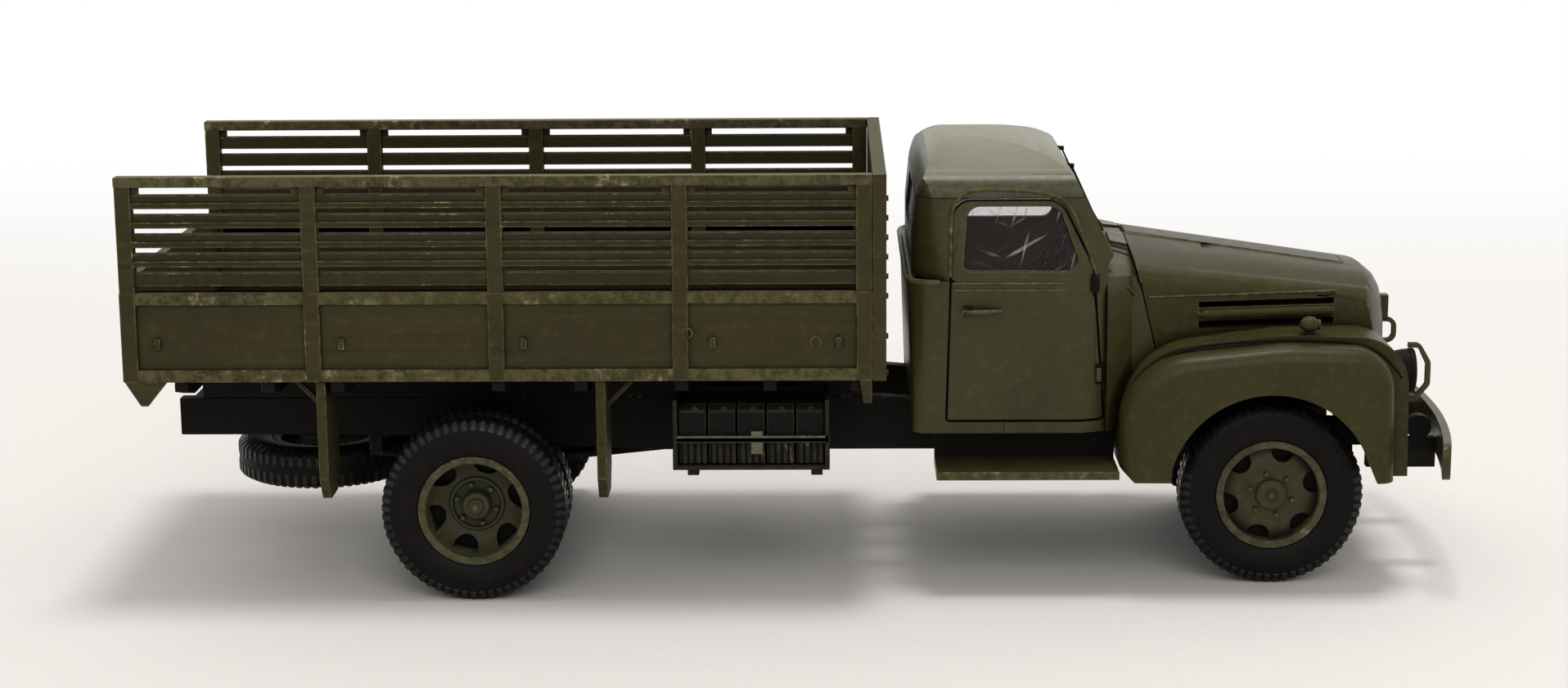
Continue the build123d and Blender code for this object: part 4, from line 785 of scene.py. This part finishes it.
for name in (
    "frame_rails", "frame_crossmembers", "bed_bearers", "bed_sills", "spare_carrier", "engine_block", "radiator",
    "rear_springs", "front_springs", "front_axle_beam", "bumper_irons", "drive_shaft", "rear_axle",
    "steering_knuckles", "fuel_tank", "dashboard", "cab_floor",
):
    dressed(name, chassis, width=0.06)

doorSill = float(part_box("door_right")[0][2]) * 1000 - 0.30


def plainSill(shape):  # no dark line between the panels under the doors
    for face in shape.faces:
        spot = face.calc_center_median()
        if face.material_index == 2 and spot.z < mm(doorSill) and abs(face.normal.z) < 0.9:
            face.material_index = 0


dressed("cab_front", body, width=0.08, near=panels, extra=plainSill)
for name in ("door_right", "door_left"):
    dressed(name, body, width=0.10, near=panels, clamped=False)
dressed("cab_back", body, width=0.08, near=panels, smooth=58, extra=plainSill)
# roof paint: pale dry-brushed dust plus a painted sheen on its upward faces
roofPaint = matPaint("oliveRoof", dict(oliveLook, pale=(0.21, 0.20, 0.135)), worn=0.12, topDustAndSheen=0.9, topDustAndSheenFrom=0.5)
dressed("cab_roof", [roofPaint, bodyEdge, panelLine], width=0.08, near=panels, smooth=58)
for name in ("front_bumper", "front_apron", "lamp_guards"):
    dressed(name, body, width=0.07)


webInside, webOutside = mm(9.75), mm(13.8)


def darkRisers(shape):  # the upright webs over the boards; the inner ones go near-black as painted shade under the cab
    for face in shape.faces:
        across = abs(face.calc_center_median().y)
        if abs(face.normal.y) > 0.7 and not webInside <= across <= webOutside:
            face.material_index = 2 if across < webInside else 3


dressed("running_boards", [*body, bedRail], width=0.07, extra=darkRisers)
for name in ("bed_floor", "tailgate", "splash_boards"):
    dressed(name, bed, width=0.07)
dressed("seat", [seatPaint, seatEdge], width=0.35, segments=4)
for name in ("door_glass", "windscreen", "rear_glass"):
    dressed(name, glass, width=0.02, segments=1)
print("plain pieces dressed")

# hood, grille and fenders

hoodSize = {
    "slotX": (28.1, 37.8),
    "upperSlot": (19.34, 19.74),
    "lowerSlot": (17.92, 18.36),
    "bar": (28.5, 37.4, 18.86, 0.40),  # from, to, height, radius
    "barProud": 0.14,
    "barSteps": 8,
    "backing": ((27.8, 38.1), (5.5, 5.7), (17.6, 19.95)),  # closes the view through both sides' slots; near-black, it is painted shade for the hood's inside
    "cutter": (6.2, 10.0),  # from the middle, through the side walls
    "marker": (35.5, 11.0, 18.52),
    "markerReach": (1.2, 1.1),  # half of what is cut for it
    "markerCut": (17.93, 20.0),
    "markerBall": (0.70, 0.64, 0.56),
    "markerStem": (17.6, 0.24),  # foot and radius
    "markerLens": (0.60, 0.72, 0.36),  # from, to, radius
    "markerRise": 0.06,
    # a near-black line along the fender's crease: wash plus painted shade in the valley
    "bead": [
        (23.37, 14.35), (24.2, 15.5), (25.34, 16.34), (27.2, 17.1), (29.40, 17.42), (33.0, 17.62), (36.42, 17.60),
        (38.3, 17.4), (39.66, 17.06), (41.0, 16.2), (41.90, 14.9),
    ],
    "beadRadius": 0.07,
    "beadAcross": 11.70,
    "beadBend": (26, 0.6),  # behind this it leans outwards at this slope
}


def hoodCuts():
    cutter = bmesh.new()
    inner, outer = hoodSize["cutter"]
    for side in (1, -1):
        for slot in (hoodSize["upperSlot"], hoodSize["lowerSlot"]):
            addBlock(cutter, hoodSize["slotX"], sideSpan(side, outer, inner), slot)
    return cutter


def hoodBars(shape):
    start, end, high, radius = hoodSize["bar"]
    count, proud = hoodSize["barSteps"], hoodSize["barProud"]
    steps = [start + (end - start) * i / count for i in range(count + 1)]
    for side in (-1, 1):
        line = [onSide(at, high, side, proud - radius) for at in steps]
        addPipe(shape, line, radius, sides=4)
        for spot in (line[0], line[-1]):
            addBall(shape, spot, (radius, radius, radius), detail=16)
        x, (inner, outer), z = hoodSize["backing"]
        # near-black block behind the slots: painted shade inside the hood
        addBlock(shape, x, sideSpan(side, outer, inner), z, material=2)


def markerCut(side):  # the square stand-in goes, a ball on a stem comes
    x, y, _ = hoodSize["marker"]
    along, across = hoodSize["markerReach"]
    cutter = bmesh.new()
    addBlock(cutter, (x - along, x + along), sideSpan(side, y + across, y - across), hoodSize["markerCut"])
    return cutter


def addMarker(shape, side):
    x, y, z = hoodSize["marker"]
    y, middle = side * y, z + hoodSize["markerRise"]
    addBall(shape, (x, y, middle), hoodSize["markerBall"], detail=20)
    foot, radius = hoodSize["markerStem"]
    addRod(shape, (x, y, foot), (x, y, z), radius)
    start, end, radius = hoodSize["markerLens"]
    addRod(shape, (x + start, y, middle), (x + end, y, middle), radius, material=1)


def fenderTrim(side):
    def add(shape):
        addMarker(shape, side)
        bend, slope = hoodSize["beadBend"]
        line = [(x, side * (hoodSize["beadAcross"] + max(bend - x, 0) * slope), z) for x, z in hoodSize["bead"]]
        # the near-black crease line: wash plus painted shade
        addPipe(shape, line, hoodSize["beadRadius"], material=2)

    return add


# the hood and fenders take the darker copy of the body paint, as painted shade
front = [frontShadedPaint, bodyEdge, panelLine]
dressed(
    "hood", front, width=0.08, cutter=hoodCuts(), extra=hoodBars, near=panels, smooth=50, clamped=False,
)
dressed("grille", body, width=0.04, segments=1)
for side, name in ((-1, "fender_right"), (1, "fender_left")):
    dressed(name, front, width=0.08, cutter=markerCut(side), extra=fenderTrim(side), near=panels)
print("front made")

# bed

bedSize = {
    "outer": 15.10,  # half the bed's width
    "railIn": 0.05,  # the stakes stand proud of the rails by this
    "inner": 14.10,
    "panel": 14.82,
    "bottom": 15.57,
    "bottomRail": 0.89,
    "midRail": (20.98, 21.85),
    "top": 29.85,
    "topRail": 0.72,
    "stakeWidth": 1.12,
    "slats": 5,
    "slatPitch": 1.345,
    "slatFrom": 22.28,
    "slatHeight": 0.97,
    "slatFace": 14.88,
    "slatThick": 0.50,
    "lipHeight": 0.46,
    "lipProud": 0.15,
    "latches": (-44.05, -31.40, -18.85, -5.90, 2.75),
    "latchHalf": 0.22,
    "latchZ": (17.85, 18.65),
    "brackets": (  # measured from the bed's rear
        [(0.05, 15.67), (1.15, 13.90), (1.65, 13.90), (3.10, 15.67)],
        [(51.55, 15.67), (50.70, 15.67), (50.95, 14.00), (51.55, 14.00)],
    ),
    "ringMarks": ((-7.65, 18.95), (1.15, 18.25)),
    "ring": [(0.0, 0.42), (0.05, 0.40), (0.05, 0.30), (0.0, 0.28)],
    "corner": 0.55,
    "boltY": (-14.5, -5.0, 5.0, 14.5),
    "boltZ": (16.0, 18.6, 21.4),
    "boltX": (5.895, 6.135),
    "boltRadius": 0.20,
    "round": 0.09,
    "rackRound": 0.10,
    "latchProud": 0.26,
    "sunk": 0.1,  # how deep the added pieces sink into what carries them
    "inset": 0.03,  # how far a block stops short of its neighbour's face
    "cornerThick": 0.4,
}
stakes = [bedRear + bedSize["stakeWidth"] / 2 + i * (bedFront - bedRear - bedSize["stakeWidth"]) / 4 for i in range(5)]


def bedSide(side, sideName):
    size, half = bedSize, bedSize["stakeWidth"] / 2
    sunk, inset = size["sunk"], size["inset"]
    rails = sideSpan(side, size["outer"] - size["railIn"], size["inner"])
    posts = sideSpan(side, size["outer"], size["inner"] - inset)
    length = (bedRear + inset, bedFront - inset)
    shape = bmesh.new()
    addBlock(shape, length, sideSpan(side, size["panel"], size["inner"]), (size["bottom"], size["midRail"][1]))
    addBlock(shape, length, rails, (size["bottom"], size["bottom"] + size["bottomRail"]), material=2)
    addBlock(shape, length, rails, size["midRail"], material=2)
    for at in stakes:
        addBlock(shape, (at - half, at + half), posts, (size["bottom"] + 0.02, size["midRail"][1] - 0.02))
    latch = sideSpan(side, size["panel"] + size["latchProud"], size["panel"] - sunk)
    for at in size["latches"]:
        addBlock(shape, (at - size["latchHalf"], at + size["latchHalf"]), latch, size["latchZ"])
    plate = sideSpan(side, size["outer"], size["panel"])
    for corners in size["brackets"]:
        verts = [shape.verts.new(mm(bedRear + x, plate[0], z)) for x, z in corners]
        face = shape.faces.new(verts)
        made = bmesh.ops.extrude_face_region(shape, geom=[face])["geom"]
        far = [v for v in made if isinstance(v, bmesh.types.BMVert)]
        bmesh.ops.translate(shape, verts=far, vec=mm(0, plate[1] - plate[0], 0))
    bmesh.ops.recalc_face_normals(shape, faces=shape.faces)
    roundEdges(shape, size["round"])
    for x, z in size["ringMarks"]:
        face = size["outer"] if x < 0 else size["panel"]
        addTurned(shape, size["ring"], (x, side * (face - 0.01), z), (0, side, 0), steps=24, material=1)
    finishPiece(shape, f"bed_side_{sideName}_panelled", "chassis", bed, (f"bed_side_{sideName}",))


def sideRack(side, sideName):
    size, half = bedSize, bedSize["stakeWidth"] / 2
    sunk, inset = size["sunk"], size["inset"]
    rails = sideSpan(side, size["outer"], size["inner"])
    posts = sideSpan(side, size["outer"] - size["railIn"], size["inner"] + 0.04)
    shape = bmesh.new()
    addBlock(shape, (bedRear, bedFront), rails, (size["top"] - size["topRail"], size["top"]), material=2)
    for at in stakes:
        shift = inset if at < 0 else -inset
        addBlock(shape, (at - half + shift, at + half + shift), posts, (size["midRail"][1] - 0.3, size["top"] - 0.05))
    for i in range(size["slats"]):
        low = size["slatFrom"] + i * size["slatPitch"]
        for start, end in zip(stakes, stakes[1:]):
            span = (start + half - sunk, end - half + sunk)
            face, lip = size["slatFace"], size["slatFace"] + size["lipProud"]
            thick = sideSpan(side, face, face - size["slatThick"])
            addBlock(shape, span, thick, (low, low + size["slatHeight"]), material=3)
            if i:
                addBlock(shape, span, sideSpan(side, lip, face - sunk), (low, low + size["lipHeight"]), material=3)
            if i == size["slats"] - 1:  # filled corners beside the stakes
                rise = (low + size["slatHeight"] - sunk, size["top"] - size["topRail"] + sunk)
                across = sideSpan(side, face - inset, face - size["cornerThick"])
                for corner in (start + half, end - half - size["corner"]):
                    addBlock(shape, (corner, corner + size["corner"]), across, rise)
    roundEdges(shape, size["rackRound"])
    finishPiece(shape, f"side_rack_{sideName}_slatted", "chassis", bed, (f"side_rack_{sideName}",))


for side, sideName in ((-1, "right"), (1, "left")):
    bedSide(side, sideName)
    sideRack(side, sideName)


def frontBolts(shape):
    size, (start, end) = bedSize, bedSize["boltX"]
    levels = [size["slatFrom"] + i * size["slatPitch"] + size["slatHeight"] / 2 for i in range(size["slats"])]
    for y in size["boltY"]:
        for z in (*levels, *size["boltZ"]):
            addRod(shape, (start, y, z), (end, y, z), size["boltRadius"], sides=6, material=1)


dressed("front_rack", bed, width=0.08, extra=frontBolts)
canSize = {
    "x": (-8.52, 2.05),  # between the end posts' outer faces
    "bar": ((-14.00, -13.65), (10.98, 11.42)),
    "clasp": ((-3.35, -2.55), (-13.98, -13.6), (10.15, 11.75)),
    "ribs": ((-13.80, -13.5), (9.45, 10.95)),
    "ribHalf": 0.13,
    "ribParts": (0.16, 0.38, 0.62, 0.84),
    "cans": 5,
    "endPost": 0.25,
    "cap": (-13.35, -13.62, 13.25, 0.22),  # from, to, height, radius
}


def canBar(shape):
    addBlock(shape, canSize["x"], *canSize["bar"], material=2)
    addBlock(shape, *canSize["clasp"], material=2)


def canRibs(shape):
    size = canSize
    rear, front = size["x"][0] + size["endPost"], size["x"][1] - size["endPost"]
    pitch = (front - rear) / size["cans"]
    inner, outer, high, radius = size["cap"]
    for i in range(size["cans"]):
        start = rear + i * pitch
        for part in size["ribParts"]:
            x = start + pitch * part
            addBlock(shape, (x - size["ribHalf"], x + size["ribHalf"]), *size["ribs"], material=1)
        x = start + pitch / 2
        addRod(shape, (x, inner, high), (x, outer, high), radius, material=1)


canRack = [rackPaint, chassisEdge, barPaint]
dressed("can_rack", canRack, width=0.06, extra=canBar)
dressed("jerrycans", [chassisPaint, rackPaint], width=0.10, extra=canRibs)
print("bed made")

# lamps and steering wheel

lampSize = {
    "centre": (42.935, 10.0, 15.1),
    "shell": [
        (-2.5, 0.0), (-2.45, 0.5), (-2.2, 0.95), (-1.5, 1.32), (-0.7, 1.48), (-0.35, 1.50), (-0.30, 1.55), (0.0, 1.55),
        (0.06, 1.50),
    ],
    "bowl": [(0.06, 1.50), (0.06, 1.36), (-0.10, 1.32), (-0.55, 0.9), (-0.75, 0.0)],
    "lens": [(-0.06, 0.0), (-0.06, 1.33), (0.04, 1.33), (0.16, 1.0), (0.24, 0.55), (0.27, 0.0)],
}
shape = bmesh.new()
glassShape = bmesh.new()
for side in (-1, 1):
    x, y, z = lampSize["centre"]
    centre = (x, side * y, z)
    addTurned(shape, lampSize["shell"], centre, (1, 0, 0), steps=48, closed=False)
    addTurned(shape, lampSize["bowl"], centre, (1, 0, 0), steps=48, closed=False, material=1)
    addTurned(glassShape, lampSize["lens"], centre, (1, 0, 0), steps=40, closed=False)
finishPiece(shape, "headlamps_bowl", "chassis", [panelLine, lampMetal], ("headlamps",))
finishPiece(glassShape, "headlamps_lens", "chassis", [lensSheet])

steering = {
    "centre": (cabBack + 11.0, 5.3, 20.2),
    "lean": 50,
    "radius": 2.38,
    "rod": 0.15,
    "spoke": 0.10,
    "column": (-3.0, 0.25, 0.22),  # from, to, radius
}
shape = bmesh.new()
lean = math.radians(steering["lean"])
axis = Vector((-math.sin(lean), 0, math.cos(lean)))
ring = [
    (steering["rod"] * math.sin(math.tau * i / 8), steering["radius"] + steering["rod"] * math.cos(math.tau * i / 8))
    for i in range(8)
]
addTurned(shape, ring, steering["centre"], axis, steps=40)
middle = Vector(steering["centre"])
across = Vector((0, 1, 0))
for spoke in (across, -across, axis.cross(across)):
    addRod(shape, middle, middle + spoke * steering["radius"], steering["spoke"], sides=6)
low, high, radius = steering["column"]
addRod(shape, middle + axis * low, middle + axis * high, radius)
finishPiece(shape, "steering_wheel_ring", "chassis", chassis, ("steering_wheel",))
print("lamps and steering wheel made")

# trim on the cab

cabSize = {
    "gutter": [
        (3.2, 22.2), (3.22, 25.0), (3.3, 26.9), (3.95, 27.9), (5.1, 28.22), (7.7, 28.15), (10.2, 27.93), (11.5, 27.2),
        (12.45, 24.9), (13.4, 22.1),
    ],
    "gutterRadius": 0.15,
    "beltLines": (21.74, 21.27),
    "beltRadius": 0.09,
    "beltStations": (3.4, 5.0, 8.0, 10.5, 12.8),
    "rearBelt": (6.0, 21.80, 2.8, 0.22),  # centre, height, how far forward it goes, radius
    "hinges": ((20.25, 20.80, 21.05, 22.30), (20.65, 21.25, 14.55, 15.95)),
    "hingeProud": 0.16,
    "handle": (11.40, 14.05, 19.88),
    "handlePlate": (0.5, 0.32, 0.10),  # length, half its height, how proud
    "handleGrip": (0.28, 0.13),  # how proud, radius
    "ridge": [(21.6, 22.32), (22.6, 21.42), (23.6, 20.40)],
    "hoodBead": (24.5, 37.9, 20.22),
    "beadRadius": 0.10,
    "vent": ((22.15, 23.35), (1.3, 4.7)),
    "ventProud": 0.22,
    "ventSlots": (5.2, 6.1),
    "ventSlotHalf": 0.13,
    "ventSlotProud": 0.04,
}
wiperSize = {
    "across": (-4.5, 4.5),
    "arm": ((0.0, 28.75, 0.18), (0.5, 27.0, 0.30), (1.4, 24.2, 0.20)),  # sideways, height, how proud
    "pivot": ((0.0, 28.9, -0.3), (0.0, 28.85, 0.35)),
    "blade": ((1.2, 26.0, 0.16), (1.6, 23.9, 0.16)),
    "radii": (0.07, 0.16, 0.10),
}


def addPlate(shape, spots, away, thick, material=0):
    away = Vector(away)
    addHull(shape, [mm(*(Vector(spot) + away * reach)) for spot in spots for reach in (-0.15, thick)], material)


shape = bmesh.new()
for side in (-1, 1):
    gutter = [onSide(cabBack + x, z, side, 0.02) for x, z in cabSize["gutter"]]
    addPipe(shape, gutter, cabSize["gutterRadius"])
    for z in cabSize["beltLines"]:
        line = [onSide(cabBack + x, z, side) for x in cabSize["beltStations"]]
        addPipe(shape, line, cabSize["beltRadius"], curved=False)
    for x0, x1, z0, z1 in cabSize["hinges"]:
        spots = [onSide(x, z, side) for x in (x0, x1) for z in (z0, z1)]
        addPlate(shape, spots, (0, side, 0), cabSize["hingeProud"], material=1)
    x0, x1, z = cabSize["handle"]
    length, half, proud = cabSize["handlePlate"]
    spots = [onSide(x, z + up, side) for x in (x0, x0 + length) for up in (-half, half)]
    addPlate(shape, spots, (0, side, 0), proud, material=1)
    proud, radius = cabSize["handleGrip"]
    addPipe(shape, [onSide(x0 + 0.2, z, side, proud), onSide(x1, z, side, proud)], radius, curved=False)
    addPipe(shape, [onSide(x, z, side) for x, z in cabSize["ridge"]], cabSize["beadRadius"])
    x0, x1, z = cabSize["hoodBead"]
    addPipe(shape, [onSide(x0 + (x1 - x0) * i / 6, z, side) for i in range(7)], cabSize["beadRadius"])
    (x0, x1), (y0, y1) = cabSize["vent"]
    spots = [onTop(x, side * y) for x in (x0, x1) for y in (y0, y1)]
    addPlate(shape, spots, (0, 0, 1), cabSize["ventProud"])
    half = cabSize["ventSlotHalf"]
    for y in cabSize["ventSlots"]:
        spots = [onTop(x, side * across) for x in (x0, x1) for across in (y - half, y + half)]
        addPlate(shape, spots, (0, 0, 1), cabSize["ventSlotProud"], material=1)
along, high, reach, radius = cabSize["rearBelt"]
belt = []
for step in range(27):
    turn = math.radians(100 + 160 * step / 26)
    direction = Vector((math.cos(turn), math.sin(turn), 0))
    spot = hitBody(Vector((cabBack + along, 0, high)) + direction * 30, -direction) + direction * 0.02
    if spot.x < cabBack + reach:
        belt.append(tuple(spot))
addPipe(shape, belt, radius)
finishPiece(shape, "cab_trim", "chassis", [bodyEdge, panelLine])

shape = bmesh.new()
for y in wiperSize["across"]:
    arm, pivot, blade = (
        [onFront(y + aside, high, proud) for aside, high, proud in wiperSize[part]]
        for part in ("arm", "pivot", "blade")
    )
    armRadius, pivotRadius, bladeRadius = wiperSize["radii"]
    addPipe(shape, arm, armRadius)
    addRod(shape, *pivot, pivotRadius, sides=10)
    addRod(shape, *blade, bladeRadius, sides=6)
finishPiece(shape, "wipers", "chassis", [chassisPaint])
print("cab trim made")

low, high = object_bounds()
